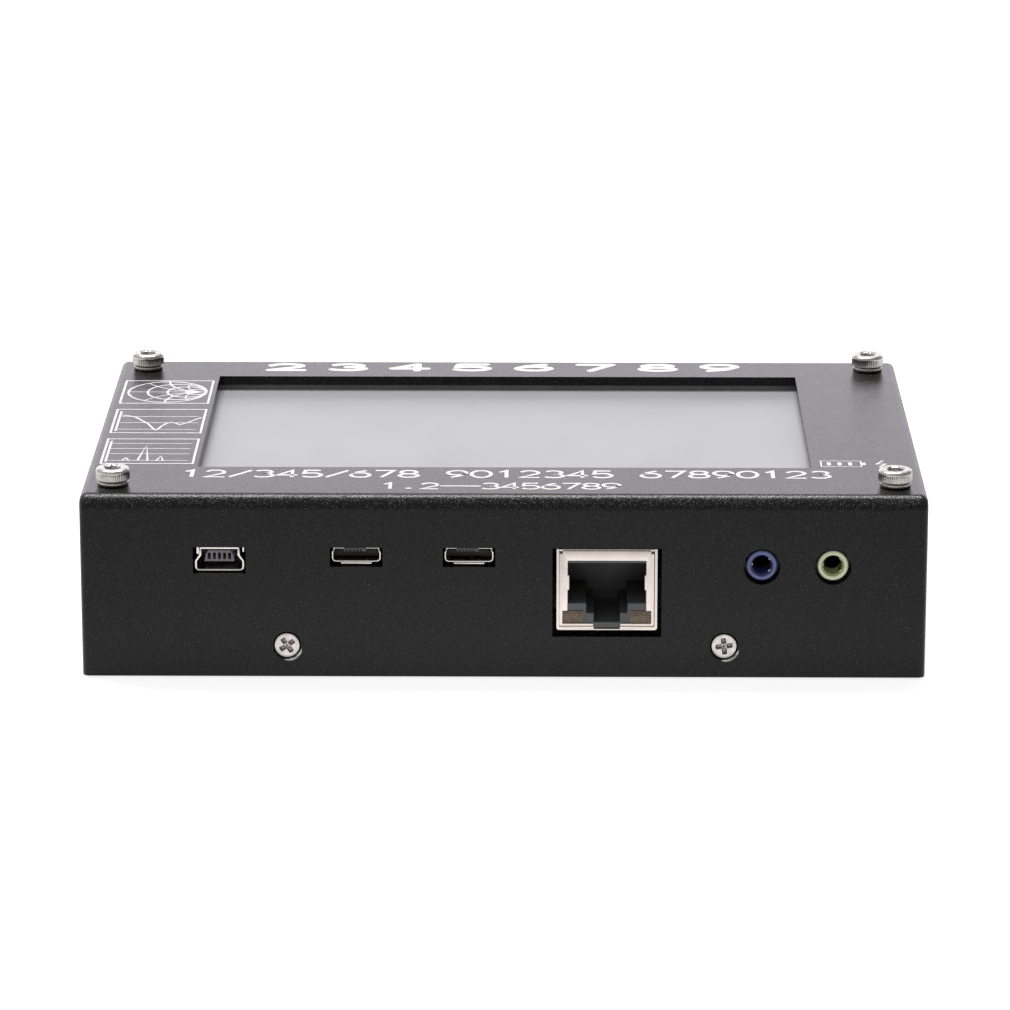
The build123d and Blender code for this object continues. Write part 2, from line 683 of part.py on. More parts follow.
MINI_SLOT_Z = MINI_TONGUE_TOP - MINI_TONGUE_H / 2
with BuildPart() as mini_usb_insert:
    with BuildSketch(upright(PORT_FACE + MINI_L - SHELL_T)) as mini_plug_outline:
        with BuildLine():
            Polyline(*MINI_OUTLINE, close=True)
        make_face()
        offset(amount=-2 * SHELL_T, mode=Mode.REPLACE)
    extrude(amount=MINI_BLOCK_L)
    with BuildSketch(upright(PORT_FACE + SHELL_T)) as mini_tongue:
        with Locations((MINI_X, MINI_TONGUE_TOP)):
            Rectangle(MINI_TONGUE_W, MINI_TONGUE_H, align=(Align.CENTER, Align.MAX))
        chamfer(mini_tongue.vertices().group_by(Axis.Z)[-1], length=MINI_TONGUE_BEVEL)
        with Locations(*[(x, MINI_SLOT_Z) for x in row(MINI_CONTACTS, MINI_PITCH, MINI_X)]):
            Rectangle(CONTACT_W, MINI_SLOT_H, mode=Mode.SUBTRACT)
    extrude(amount=-MINI_TONGUE_L)
mini_usb_insert.part.label = "mini_usb_insert"
export_step(mini_usb_insert.part, "parts/mini_usb_insert.step")

with BuildPart() as mini_usb_contacts:
    with Locations(
        *[
            (x, PORT_FACE + CONTACT_INSET, MINI_SLOT_Z - MINI_SLOT_H / 2)
            for x in row(MINI_CONTACTS, MINI_PITCH, MINI_X)
        ]
    ):
        Box(CONTACT_W, MINI_L / 2, CONTACT_T, align=(Align.CENTER, Align.MIN, Align.MIN))
mini_usb_contacts.part.label = "mini_usb_contacts"
export_step(mini_usb_contacts.part, "parts/mini_usb_contacts.step")

with BuildPart() as micro_usb_shells:
    for port_x in MICRO_X:
        with BuildSketch(upright(PORT_FACE)) as micro_outline:
            with Locations((port_x, PORT_TOP)):
                Rectangle(MICRO_W, MICRO_H, align=(Align.CENTER, Align.MAX))
            chamfer(micro_outline.vertices().group_by(Axis.Z)[0], length=MICRO_CORNER)
            fillet(micro_outline.vertices(), radius=MICRO_ROUND)
            offset(amount=-SHELL_T, mode=Mode.SUBTRACT)
        extrude(amount=-MICRO_L)
        with Locations((port_x, PORT_FACE, PORT_TOP - MICRO_H + SHELL_T)):
            Box(MICRO_LIP_W, SHELL_T, MICRO_LIP_H + SHELL_T, align=(Align.CENTER, Align.MAX, Align.MAX))
        for side in (-1, 1):
            with Locations((port_x + side * MICRO_W / 4, PORT_FACE + MICRO_L / 2, PORT_TOP)):
                Box(*PORT_FOOT, align=LOW)
micro_usb_shells.part.label = "micro_usb_shells"
export_step(micro_usb_shells.part, "parts/micro_usb_shells.step")

MICRO_BLOCK = (MICRO_W - 2 * MICRO_CORNER - SHELL_T, SHEET, MICRO_H - 3 * SHELL_T)
MICRO_TONGUE = (MICRO_TONGUE_W, MICRO_L - SHEET, MICRO_TONGUE_H)
with BuildPart() as micro_usb_inserts:
    for port_x in MICRO_X:
        with Locations((port_x, PORT_FACE + MICRO_L, PORT_TOP - MICRO_H / 2)):
            Box(*MICRO_BLOCK, align=(Align.CENTER, Align.MAX, Align.CENTER))
        with Locations((port_x, PORT_FACE + SHELL_T, PORT_TOP - 2 * SHELL_T)):
            Box(*MICRO_TONGUE, align=(Align.CENTER, Align.MIN, Align.MAX))
micro_usb_inserts.part.label = "micro_usb_inserts"
export_step(micro_usb_inserts.part, "parts/micro_usb_inserts.step")

with BuildPart() as micro_usb_contacts:
    for port_x in MICRO_X:
        with Locations(
            *[
                (x, PORT_FACE + 2 * SHELL_T, PORT_TOP - 2 * SHELL_T - MICRO_TONGUE_H)
                for x in row(MICRO_CONTACTS, MICRO_PITCH, port_x)
            ]
        ):
            Box(CONTACT_W, MICRO_L / 2, CONTACT_T, align=(Align.CENTER, Align.MIN, Align.MAX))
micro_usb_contacts.part.label = "micro_usb_contacts"
export_step(micro_usb_contacts.part, "parts/micro_usb_contacts.step")

# ==============================================================================
# Network socket
# ==============================================================================

NET_FACE = FRONT + NET_RECESS
NET_TOP = NET_Z + NET_H / 2
NET_OPEN_Z = (NET_OPEN_BASE + NET_OPEN_TOP) / 2

with BuildPart() as network_shield:
    with BuildSketch(upright(NET_FACE)):
        with Locations((NET_X, NET_Z)):
            Rectangle(NET_W, NET_H)
    extrude(amount=-NET_L)
    lower_edges = network_shield.edges().filter_by(Axis.Y).group_by(Axis.Z)[0]
    chamfer(lower_edges, length=NET_CORNER_BEVEL)
    with BuildSketch(upright(NET_FACE + SHELL_T)) as shield_inside:
        with Locations((NET_X, NET_Z)):
            Rectangle(NET_W - 2 * SHELL_T, NET_H - 2 * SHELL_T)
        chamfer(shield_inside.vertices().group_by(Axis.Z)[0], length=NET_CORNER_BEVEL)
    extrude(amount=-(NET_L - 2 * SHELL_T), mode=Mode.SUBTRACT)
    with BuildSketch(upright(NET_FACE)):
        with Locations((NET_X, NET_OPEN_Z)):
            Rectangle(NET_OPEN_W, NET_OPEN_TOP - NET_OPEN_BASE)
        with Locations((NET_X, NET_OPEN_BASE)):
            Rectangle(*NET_FOOT_OPEN, align=(Align.CENTER, Align.MIN))
            Rectangle(*NET_NOTCH, align=(Align.CENTER, Align.MAX))
        with Locations(*[(NET_X + side * NET_OPEN_W / 2, NET_TAB_Z) for side in (-1, 1)]):
            Rectangle(2 * NET_TAB[0], NET_TAB[1], mode=Mode.SUBTRACT)
        with Locations(*[(NET_X + side * (NET_W / 2 - NET_CORNER_SLOT_INSET), NET_TOP) for side in (-1, 1)]):
            Rectangle(*NET_CORNER_SLOT, align=(Align.CENTER, Align.MAX))
    extrude(amount=-SHELL_T, mode=Mode.SUBTRACT)
    with Locations(*[(NET_X + side * (NET_W - NET_EAR[0]) / 2, NET_FACE, NET_TOP) for side in (-1, 1)]):
        Box(*NET_EAR, align=(Align.CENTER, Align.MIN, Align.MIN))
    with Locations(*[(NET_X + side * NET_W / 3, NET_FACE + NET_L / 2, NET_TOP) for side in (-1, 1)]):
        Box(*NET_POST, BOARD_BASE - NET_TOP, align=LOW)
network_shield.part.label = "network_shield"
export_step(network_shield.part, "parts/network_shield.step")

with BuildPart() as network_housing:
    with BuildSketch(upright(NET_FACE + SHELL_T)) as housing_outline:
        with Locations((NET_X, NET_Z)):
            Rectangle(NET_W - 2 * SHELL_T, NET_H - 2 * SHELL_T)
        chamfer(housing_outline.vertices().group_by(Axis.Z)[0], length=NET_CORNER_BEVEL)
    extrude(amount=-(NET_L - 2 * SHELL_T))
    with BuildSketch(upright(NET_FACE + SHELL_T)):
        with Locations((NET_X, NET_CAVITY_BASE)):
            Rectangle(NET_CAVITY_W, NET_CAVITY_TOP - NET_CAVITY_BASE, align=(Align.CENTER, Align.MIN))
        with Locations((NET_X, NET_LATCH_BASE)):
            Rectangle(NET_LATCH_W, NET_CAVITY_BASE - NET_LATCH_BASE, align=(Align.CENTER, Align.MIN))
        with Locations((NET_X, NET_KEY_BASE)):
            Rectangle(NET_KEY_W, NET_LATCH_BASE - NET_KEY_BASE, align=(Align.CENTER, Align.MIN))
    extrude(amount=-NET_CAVITY_L, mode=Mode.SUBTRACT)
    with BuildSketch(upright(NET_FACE + SHELL_T)):
        with Locations(*[(NET_X + side * NET_LAMP_OFFSET, NET_LAMP_Z) for side in (-1, 1)]):
            Rectangle(NET_LAMP_W, NET_LAMP_H)
    extrude(amount=-NET_LAMP_L, mode=Mode.SUBTRACT)
network_housing.part.label = "network_housing"
export_step(network_housing.part, "parts/network_housing.step")

with BuildPart() as network_light_pipes:
    with BuildSketch(upright(NET_FACE + SHELL_T)):
        with Locations(*[(NET_X + side * NET_LAMP_OFFSET, NET_LAMP_Z) for side in (-1, 1)]):
            Rectangle(NET_LAMP_W, NET_LAMP_H)
    extrude(amount=-NET_LAMP_L)
network_light_pipes.part.label = "network_light_pipes"
export_step(network_light_pipes.part, "parts/network_light_pipes.step")

with BuildPart() as network_contacts:
    for wire_x in row(NET_CONTACTS, NET_PITCH, NET_X):
        with BuildSketch(sideways(wire_x)):
            with BuildLine():
                Polyline(
                    (NET_FACE + NET_WIRE_FRONT, NET_WIRE_TOP),
                    (NET_FACE + NET_WIRE_REAR, NET_WIRE_TOP - NET_WIRE_DROP),
                    (NET_FACE + NET_WIRE_REAR, NET_WIRE_TOP - NET_WIRE_DROP - NET_WIRE),
                    (NET_FACE + NET_WIRE_FRONT, NET_WIRE_TOP - NET_WIRE),
                    close=True,
                )
            make_face()
        extrude(amount=NET_WIRE / 2, both=True)
network_contacts.part.label = "network_contacts"
export_step(network_contacts.part, "parts/network_contacts.step")

# ==============================================================================
# Audio jacks
# ==============================================================================


def jack_body(jack_x):
    """Square jack body with a round nose and a plug bore, added to the open part."""
    with Locations((jack_x, FRONT + JACK_FACE, JACK_Z)):
        Box(*JACK_BODY, align=(Align.CENTER, Align.MIN, Align.CENTER))
    with BuildSketch(upright(FRONT + JACK_RECESS)) as nose:
        with Locations((jack_x, JACK_Z)):
            Circle(JACK_NOSE_D / 2)
    nose_part = extrude(nose.sketch, amount=-(JACK_FACE - JACK_RECESS))
    fillet(nose_part.faces().sort_by(Axis.Y)[0].edges(), radius=JACK_NOSE_ROUND)
    with BuildSketch(upright(FRONT + JACK_RECESS)) as bore:
        with Locations((jack_x, JACK_Z)):
            Circle(JACK_BORE_D / 2)
    extrude(bore.sketch, amount=-JACK_BORE_L, mode=Mode.SUBTRACT)


with BuildPart() as line_in_jack:
    jack_body(JACK_X["line_in_jack"])
line_in_jack.part.label = "line_in_jack"
export_step(line_in_jack.part, "parts/line_in_jack.step")

with BuildPart() as line_out_jack:
    jack_body(JACK_X["line_out_jack"])
line_out_jack.part.label = "line_out_jack"
export_step(line_out_jack.part, "parts/line_out_jack.step")

with BuildPart() as jack_contacts:
    for jack_x in JACK_X.values():
        for side in (-1, 1):
            with Locations(
                *[
                    (jack_x + side * (JACK_BODY[0] + JACK_LEG[0]) / 2, y, BOARD_BASE)
                    for y in row(3, JACK_LEG_ROW, FRONT + JACK_FACE + JACK_BODY[1] / 2)
                ]
            ):
                Box(*JACK_LEG, align=HIGH)
jack_contacts.part.label = "jack_contacts"
export_step(jack_contacts.part, "parts/jack_contacts.step")

# ==============================================================================
# Radio board
# ==============================================================================

STRIP_PLACES = [
    (x, RF_BOARD_CENTRE[1] + side * HEADER_ROW_SPACING / 2, pins * PIN_PITCH)
    for x, side, pins in HEADER_STRIPS
]

with BuildPart() as header_sockets:
    for strip_x, strip_y, strip_length in STRIP_PLACES:
        with Locations((strip_x, strip_y, BOARD_BASE)):
            Box(strip_length, PIN_PITCH, SOCKET_H, align=HIGH)
header_sockets.part.label = "header_sockets"
export_step(header_sockets.part, "parts/header_sockets.step")

with BuildPart() as header_strips:
    for strip_x, strip_y, strip_length in STRIP_PLACES:
        with Locations((strip_x, strip_y, RF_TOP)):
            Box(strip_length, PIN_PITCH, STRIP_H, align=LOW)
header_strips.part.label = "header_strips"
export_step(header_strips.part, "parts/header_strips.step")

with BuildPart() as rf_board:
    with BuildSketch(Plane.XY.offset(RF_BASE)):
        with Locations(RF_BOARD_CENTRE):
            RectangleRounded(RF_BOARD_X, RF_BOARD_Y, EDGE_RADIUS)
    extrude(amount=BOARD_T)
rf_board.part.label = "rf_board"
export_step(rf_board.part, "parts/rf_board.step")

with BuildPart() as rf_shield_can:
    with Locations((*CAN_AT, RF_TOP)):
        Box(CAN_X, CAN_Y, CAN_H, align=LOW)
        Box(CAN_X - 2 * CAN_T, CAN_Y - 2 * CAN_T, CAN_H - CAN_T, align=LOW, mode=Mode.SUBTRACT)
rf_shield_can.part.label = "rf_shield_can"
export_step(rf_shield_can.part, "parts/rf_shield_can.step")

with BuildPart() as rf_chips:
    for chip_x, chip_y, chip_side in RF_CHIPS:
        with Locations((chip_x, chip_y, RF_TOP)):
            Box(chip_side, chip_side, RF_CHIP_T, align=LOW)
rf_chips.part.label = "rf_chips"
export_step(rf_chips.part, "parts/rf_chips.step")

# ==============================================================================
# Antenna connector
# ==============================================================================

PORT_TIP = REAR + FLANGE_T + NECK_L + THREAD_L

with BuildPart() as antenna_connector:
    with BuildSketch(upright(REAR)):
        with Locations(PORT_AT):
            RectangleRounded(FLANGE, FLANGE, FLANGE_RADIUS)
    extrude(amount=-FLANGE_T)
    with BuildSketch(upright(REAR)):
        with Locations(PORT_AT):
            Circle(NECK_D / 2)
    extrude(amount=-(FLANGE_T + NECK_L))
    with BuildSketch(upright(REAR + FLANGE_T + NECK_L)):
        with Locations(PORT_AT):
            Circle(THREAD_D / 2)
    extrude(amount=-THREAD_L)
    chamfer(antenna_connector.faces().sort_by(Axis.Y)[-1].edges(), length=THREAD_BEVEL)
    with BuildSketch(upright(REAR)):
        with Locations(PORT_AT):
            Circle(INNER_BOSS_D / 2)
    extrude(amount=SHEET + INNER_BOSS_L)
    with BuildSketch(upright(PORT_TIP)):
        with Locations(PORT_AT):
            Circle(SOCKET_D / 2)
    extrude(amount=SOCKET_L, mode=Mode.SUBTRACT)
    with BuildSketch(upright(PORT_TIP)):
        with Locations(PORT_AT):
            Circle(CORE_D / 2)
    extrude(amount=PORT_TIP - INNER_REAR + INNER_BOSS_L, mode=Mode.SUBTRACT)
    with BuildSketch(upright(REAR)):
        with Locations(*FLANGE_POINTS):
            Circle(FLANGE_HOLE_D / 2)
    extrude(amount=-FLANGE_T, mode=Mode.SUBTRACT)
antenna_connector.part.label = "antenna_connector"
export_step(antenna_connector.part, "parts/antenna_connector.step")

with BuildPart() as connector_core:
    with BuildSketch(upright(INNER_REAR - INNER_BOSS_L - CORE_L)):
        with Locations(PORT_AT):
            Circle(CORE_D / 2)
            Circle(PIN_TAIL_D / 2, mode=Mode.SUBTRACT)
    extrude(amount=-(PORT_TIP - SOCKET_L - INNER_REAR + INNER_BOSS_L + CORE_L))
connector_core.part.label = "connector_core"
export_step(connector_core.part, "parts/connector_core.step")

with BuildPart() as connector_pin:
    with BuildSketch(upright(PORT_TIP - PIN_SETBACK)):
        with Locations(PORT_AT):
            Circle(PIN_D / 2)
            Circle(PIN_BORE_D / 2, mode=Mode.SUBTRACT)
    extrude(amount=SOCKET_L - PIN_SETBACK)
    with BuildSketch(upright(PORT_TIP - SOCKET_L)):
        with Locations(PORT_AT):
            Circle(PIN_TAIL_D / 2)
    extrude(amount=PORT_TIP - SOCKET_L - INNER_REAR + INNER_BOSS_L + CORE_L + PIN_TAIL_L)
    with BuildSketch(upright(PORT_TIP - SOCKET_L)):
        with Locations(PORT_AT):
            Circle(PIN_BORE_D)
    extrude(amount=-SHELL_T)
connector_pin.part.label = "connector_pin"
export_step(connector_pin.part, "parts/connector_pin.step")

with BuildPart() as connector_screws:
    with BuildSketch(upright(REAR + FLANGE_T)):
        with Locations(*FLANGE_POINTS):
            Circle(M25_HEAD_D / 2)
    extrude(amount=-M25_HEAD_H)
    fillet(connector_screws.edges().group_by(Axis.Y)[-1], radius=M25_HEAD_ROUND)
    with BuildSketch(upright(REAR + FLANGE_T + M25_HEAD_H)):
        with Locations(*FLANGE_POINTS):
            Rectangle(M25_HEAD_D, M25_SLOT[0])
    extrude(amount=M25_SLOT[1], mode=Mode.SUBTRACT)
    with BuildSketch(upright(REAR + FLANGE_T)):
        with Locations(*FLANGE_POINTS):
            Circle(M25_D / 2)
    extrude(amount=M25_LENGTH)
connector_screws.part.label = "connector_screws"
export_step(connector_screws.part, "parts/connector_screws.step")

with BuildPart() as connector_nuts:
    with BuildSketch(upright(INNER_REAR)):
        with Locations(*FLANGE_POINTS):
            RegularPolygon(radius=M25_NUT_AF / 2, side_count=6, major_radius=False)
            Circle(M25_BORE_D / 2, mode=Mode.SUBTRACT)
    extrude(amount=M25_NUT_H)
connector_nuts.part.label = "connector_nuts"
export_step(connector_nuts.part, "parts/connector_nuts.step")

COAX_START = INNER_REAR - INNER_BOSS_L - CORE_L - PIN_TAIL_L
COAX_ROUTE = [
    (PORT_AT[0], COAX_START, PORT_AT[1]),
    (PORT_AT[0], COAX_START - COAX_RUNS[0], PORT_AT[1]),
    (PORT_AT[0] + COAX_RUNS[2], COAX_START - COAX_RUNS[0] - COAX_RUNS[1], RF_TOP + COAX_D / 2),
    (
        PORT_AT[0] + COAX_RUNS[2] + COAX_RUNS[3],
        COAX_START - COAX_RUNS[0] - COAX_RUNS[1],
        RF_TOP + COAX_D / 2,
    ),
]
with BuildPart() as antenna_coax:
    wire_between(COAX_ROUTE, COAX_TURN, COAX_D)
antenna_coax.part.label = "antenna_coax"
export_step(antenna_coax.part, "parts/antenna_coax.step")

# ==============================================================================
# Power switch
# ==============================================================================

PIVOT = (SWITCH_AT[0], REAR + PIVOT_DEPTH, SWITCH_AT[1])
PIVOT_PLANE = Plane(origin=PIVOT, x_dir=(1, 0, 0), z_dir=(0, 0, 1))
TERMINAL_X = row(2, TERMINAL_SPACING, SWITCH_AT[0])

with BuildPart() as power_switch_body:
    with BuildSketch(upright(REAR)) as bezel_outline:
        with Locations(SWITCH_AT):
            Rectangle(BEZEL[0], BEZEL[1])
    extrude(amount=-BEZEL[2])
    bezel_rim = power_switch_body.faces().sort_by(Axis.Y)[-1].edges()
    chamfer(bezel_rim, length=BEZEL_BEVEL)
    with BuildSketch(upright(REAR)):
        with Locations(SWITCH_AT):
            Rectangle(BARREL[0], BARREL[1])
    extrude(amount=BARREL[2])
    with BuildSketch(upright(REAR + BEZEL[2])):
        with Locations(SWITCH_AT):
            Rectangle(WELL[0], WELL[1])
    extrude(amount=BEZEL[2] + WELL[2], mode=Mode.SUBTRACT)
    with BuildSketch(PIVOT_PLANE):
        Circle(TRUNNION_BORE_D / 2)
    extrude(amount=ROCKER_Z / 2 + TRUNNION_L + PLUNGER_GAP, both=True, mode=Mode.SUBTRACT)
    with BuildSketch(upright(REAR - WELL[2])):
        with Locations(*[(x, SWITCH_AT[1]) for x in TERMINAL_X]):
            Rectangle(TERMINAL[0], TERMINAL[2])
    extrude(amount=BARREL[2] - WELL[2], mode=Mode.SUBTRACT)
power_switch_body.part.label = "power_switch_body"
export_step(power_switch_body.part, "parts/power_switch_body.step")

with BuildPart() as power_switch_rocker:
    with BuildSketch(PIVOT_PLANE.rotated((0, 0, -ROCKER_TILT))):
        Circle(ROCKER_R)
        with BuildLine():
            Polyline(
                (-ROCKER_R, -ROCKER_BASE),
                (ROCKER_R, -ROCKER_BASE),
                (ROCKER_R, ROCKER_END),
                (0, ROCKER_WAIST),
                (-ROCKER_R, ROCKER_END),
                close=True,
            )
        make_face(mode=Mode.INTERSECT)
    extrude(amount=ROCKER_Z / 2, both=True)
    with BuildSketch(PIVOT_PLANE):
        Circle(TRUNNION_D / 2)
    extrude(amount=ROCKER_Z / 2 + TRUNNION_L, both=True)
power_switch_rocker.part.label = "power_switch_rocker"
export_step(power_switch_rocker.part, "parts/power_switch_rocker.step")

with BuildPart() as power_switch_terminals:
    for terminal_x in TERMINAL_X:
        with Locations((terminal_x, REAR - WELL[2], SWITCH_AT[1])):
            Box(*TERMINAL, align=(Align.CENTER, Align.MAX, Align.CENTER))
power_switch_terminals.part.label = "power_switch_terminals"
export_step(power_switch_terminals.part, "parts/power_switch_terminals.step")

TERMINAL_TIP = REAR - WELL[2] - TERMINAL[1]
with BuildPart() as switch_leads:
    for lead_x, pad_x in zip(TERMINAL_X, SWITCH_PADS):
        lead_route = [
            (lead_x, TERMINAL_TIP, SWITCH_AT[1]),
            (lead_x, TERMINAL_TIP - SWITCH_AT[1], SWITCH_AT[1]),
            (pad_x, CHARGER_Y + BATTERY[1] / 2, CHARGER_TOP + LEAD_D / 2),
            (pad_x, CHARGER_Y + CHARGER[1] / 2 - SHEET, CHARGER_TOP + LEAD_D / 2),
        ]
        wire_between(lead_route, SWITCH_LEAD_TURN, LEAD_D)
switch_leads.part.label = "switch_leads"
export_step(switch_leads.part, "parts/switch_leads.step")

# ==============================================================================
# Battery and charger
# ==============================================================================

with BuildPart() as battery_tape:
    with Locations((*BATTERY_CENTRE, SHEET)):
        Box(BATTERY[0] - 2 * TAPE_INSET, BATTERY[1] - 2 * TAPE_INSET, TAPE_T, align=LOW)
battery_tape.part.label = "battery_tape"
export_step(battery_tape.part, "parts/battery_tape.step")

with BuildPart() as battery_cell:
    with Locations((*BATTERY_CENTRE, SHEET + TAPE_T)):
        Box(*BATTERY, align=LOW)
    fillet(battery_cell.edges().filter_by(Axis.Y), radius=BATTERY_RADIUS)
battery_cell.part.label = "battery_cell"
export_step(battery_cell.part, "parts/battery_cell.step")

BATTERY_END = BATTERY_CENTRE[0] + BATTERY[0] / 2
CHARGER_LEFT = INNER_RIGHT - SHELL_T - CHARGER[0]
with BuildPart() as battery_leads:
    for lead_y, turn_x, pad_y in BATTERY_LEADS:
        battery_route = [
            (BATTERY_END, lead_y, SHEET + TAPE_T + BATTERY[2] / 2),
            (turn_x, lead_y, SHEET + TAPE_T + BATTERY[2] / 2),
            (turn_x, pad_y, CHARGER_TOP + LEAD_D / 2),
            (CHARGER_LEFT + SHEET, pad_y, CHARGER_TOP + LEAD_D / 2),
        ]
        wire_between(battery_route, LEAD_TURN, LEAD_D)
battery_leads.part.label = "battery_leads"
export_step(battery_leads.part, "parts/battery_leads.step")

CHARGER_X = CHARGER_LEFT + CHARGER[0] / 2
with BuildPart() as charger_pad:
    with Locations((CHARGER_X, CHARGER_Y, SHEET)):
        Box(CHARGER[0] - 2 * SHEET, CHARGER[1] - 2 * SHEET, CHARGER_PAD_T, align=LOW)
charger_pad.part.label = "charger_pad"
export_step(charger_pad.part, "parts/charger_pad.step")

with BuildPart() as charger_board:
    with Locations((CHARGER_X, CHARGER_Y, CHARGER_BASE)):
        Box(*CHARGER, align=LOW)
charger_board.part.label = "charger_board"
export_step(charger_board.part, "parts/charger_board.step")

CHARGE_FACE = RIGHT - PORT_RECESS
with BuildPart() as charge_socket:
    with BuildSketch(sideways(CHARGE_FACE)) as charge_outline:
        with Locations((CHARGER_Y, CHARGER_TOP)):
            Rectangle(CHARGE_PORT[0], CHARGE_PORT[1], align=(Align.CENTER, Align.MIN))
        chamfer(charge_outline.vertices().group_by(Axis.Z)[-1], length=MICRO_CORNER)
        offset(amount=-SHELL_T, mode=Mode.SUBTRACT)
    extrude(amount=-CHARGE_PORT[2])
charge_socket.part.label = "charge_socket"
export_step(charge_socket.part, "parts/charge_socket.step")

CHARGE_BLOCK = (SHEET, CHARGE_TONGUE[1] + SHEET, CHARGE_PORT[1] - 3 * SHELL_T)
with BuildPart() as charge_insert:
    with Locations((CHARGE_FACE - CHARGE_PORT[2], CHARGER_Y, CHARGER_TOP + CHARGE_PORT[1] / 2)):
        Box(*CHARGE_BLOCK, align=(Align.MIN, Align.CENTER, Align.CENTER))
        Box(*CHARGE_TONGUE, align=(Align.MIN, Align.CENTER, Align.CENTER))
charge_insert.part.label = "charge_insert"
export_step(charge_insert.part, "parts/charge_insert.step")

LED_HEEL = RIGHT + LED_PROUD - LED_L
with BuildPart() as charge_led:
    with BuildSketch(sideways(RIGHT + LED_PROUD)):
        with Locations((LED_Y, LED_Z)):
            Circle(LED_D / 2)
    extrude(amount=-LED_L)
    fillet(charge_led.faces().sort_by(Axis.X)[-1].edges(), radius=LED_ROUND)
    with BuildSketch(sideways(LED_HEEL)):
        with Locations((LED_Y, LED_Z)):
            Circle(LED_FLANGE_D / 2)
    extrude(amount=-SHEET)
    with Locations(*[(LED_HEEL - SHEET, y, LED_Z) for y in row(2, LED_LEG_SPACING / 2, LED_Y)]):
        Box(2 * SHEET, LED_LEG, LED_LEG, align=(Align.MAX, Align.CENTER, Align.CENTER))
charge_led.part.label = "charge_led"
export_step(charge_led.part, "parts/charge_led.step")
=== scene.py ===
import json
import logging
import math
from dataclasses import dataclass, field
from enum import Enum
from typing import Callable, Iterable, Sequence

import bmesh
import bpy
from mathutils import Matrix, Vector


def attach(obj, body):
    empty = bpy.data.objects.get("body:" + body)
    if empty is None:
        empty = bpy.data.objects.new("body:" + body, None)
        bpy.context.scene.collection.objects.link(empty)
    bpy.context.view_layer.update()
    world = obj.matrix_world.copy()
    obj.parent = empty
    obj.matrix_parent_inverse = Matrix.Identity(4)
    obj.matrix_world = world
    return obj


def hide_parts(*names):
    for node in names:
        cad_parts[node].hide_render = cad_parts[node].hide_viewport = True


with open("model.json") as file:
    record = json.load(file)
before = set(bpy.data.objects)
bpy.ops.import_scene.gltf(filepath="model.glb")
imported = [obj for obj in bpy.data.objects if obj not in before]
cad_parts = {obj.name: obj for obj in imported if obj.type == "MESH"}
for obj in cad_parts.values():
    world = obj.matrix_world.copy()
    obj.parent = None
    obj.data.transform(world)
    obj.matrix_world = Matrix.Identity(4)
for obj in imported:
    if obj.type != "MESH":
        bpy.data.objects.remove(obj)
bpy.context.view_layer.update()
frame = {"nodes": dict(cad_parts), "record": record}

Flat = tuple[float, float]
Point = tuple[float, float, float]
Colour = tuple[float, float, float]
Socket = bpy.types.NodeSocket

LOG = logging.getLogger("antenna_analyzer")
MM = 0.001
CASE = "case"
SLOT_OF = {row["node"]: row["material_slot"] for row in frame["record"]["subparts"]}

# Outer faces of the case, in millimetres.
PLATE_TOP = 29.5
FRONT_WALL = -42.5
REAR_WALL = 42.5

# Sockets of the Mix node, by its kind: the two inputs and the result.
MIX_COLOUR = (6, 7, 2)
MIX_NUMBER = (2, 3, 0)
# Where most values of a noise lie.
NOISE_SPAN = (0.35, 0.65)
# How relief stretches along each axis.
EVEN = (1.0, 1.0, 1.0)
BRUSHING = (0.06, 1.0, 1.0)
SCRATCHING = (0.12, 1.0, 1.0)
WRINKLING = (1.0, 0.35, 1.0)
WIPING = (1.0, 0.5, 1.0)
# Copper tracks: their edges as shares of a cell, and how much lighter they are.
TRACK_SPAN = (0.1, 0.04)
TRACK_SHADE = 1.7

# Segments of a piece's rounded rim, points of a bold line's joint, and the sharpest mitre.
RIM_STEPS = 3
JOINT_POINTS = 16
MITRE_LIMIT = 0.35
# Edges of a piece that bend by more degrees than this stay sharp.
CREASE = 32.0


# --- Materials ---


class Relief(Enum):
    """The kinds of fine relief that a surface carries."""

    MOULDED = "moulded"
    BRUSHED = "brushed"
    CELLULAR = "cellular"
    TRACKED = "tracked"
    WRINKLED = "wrinkled"


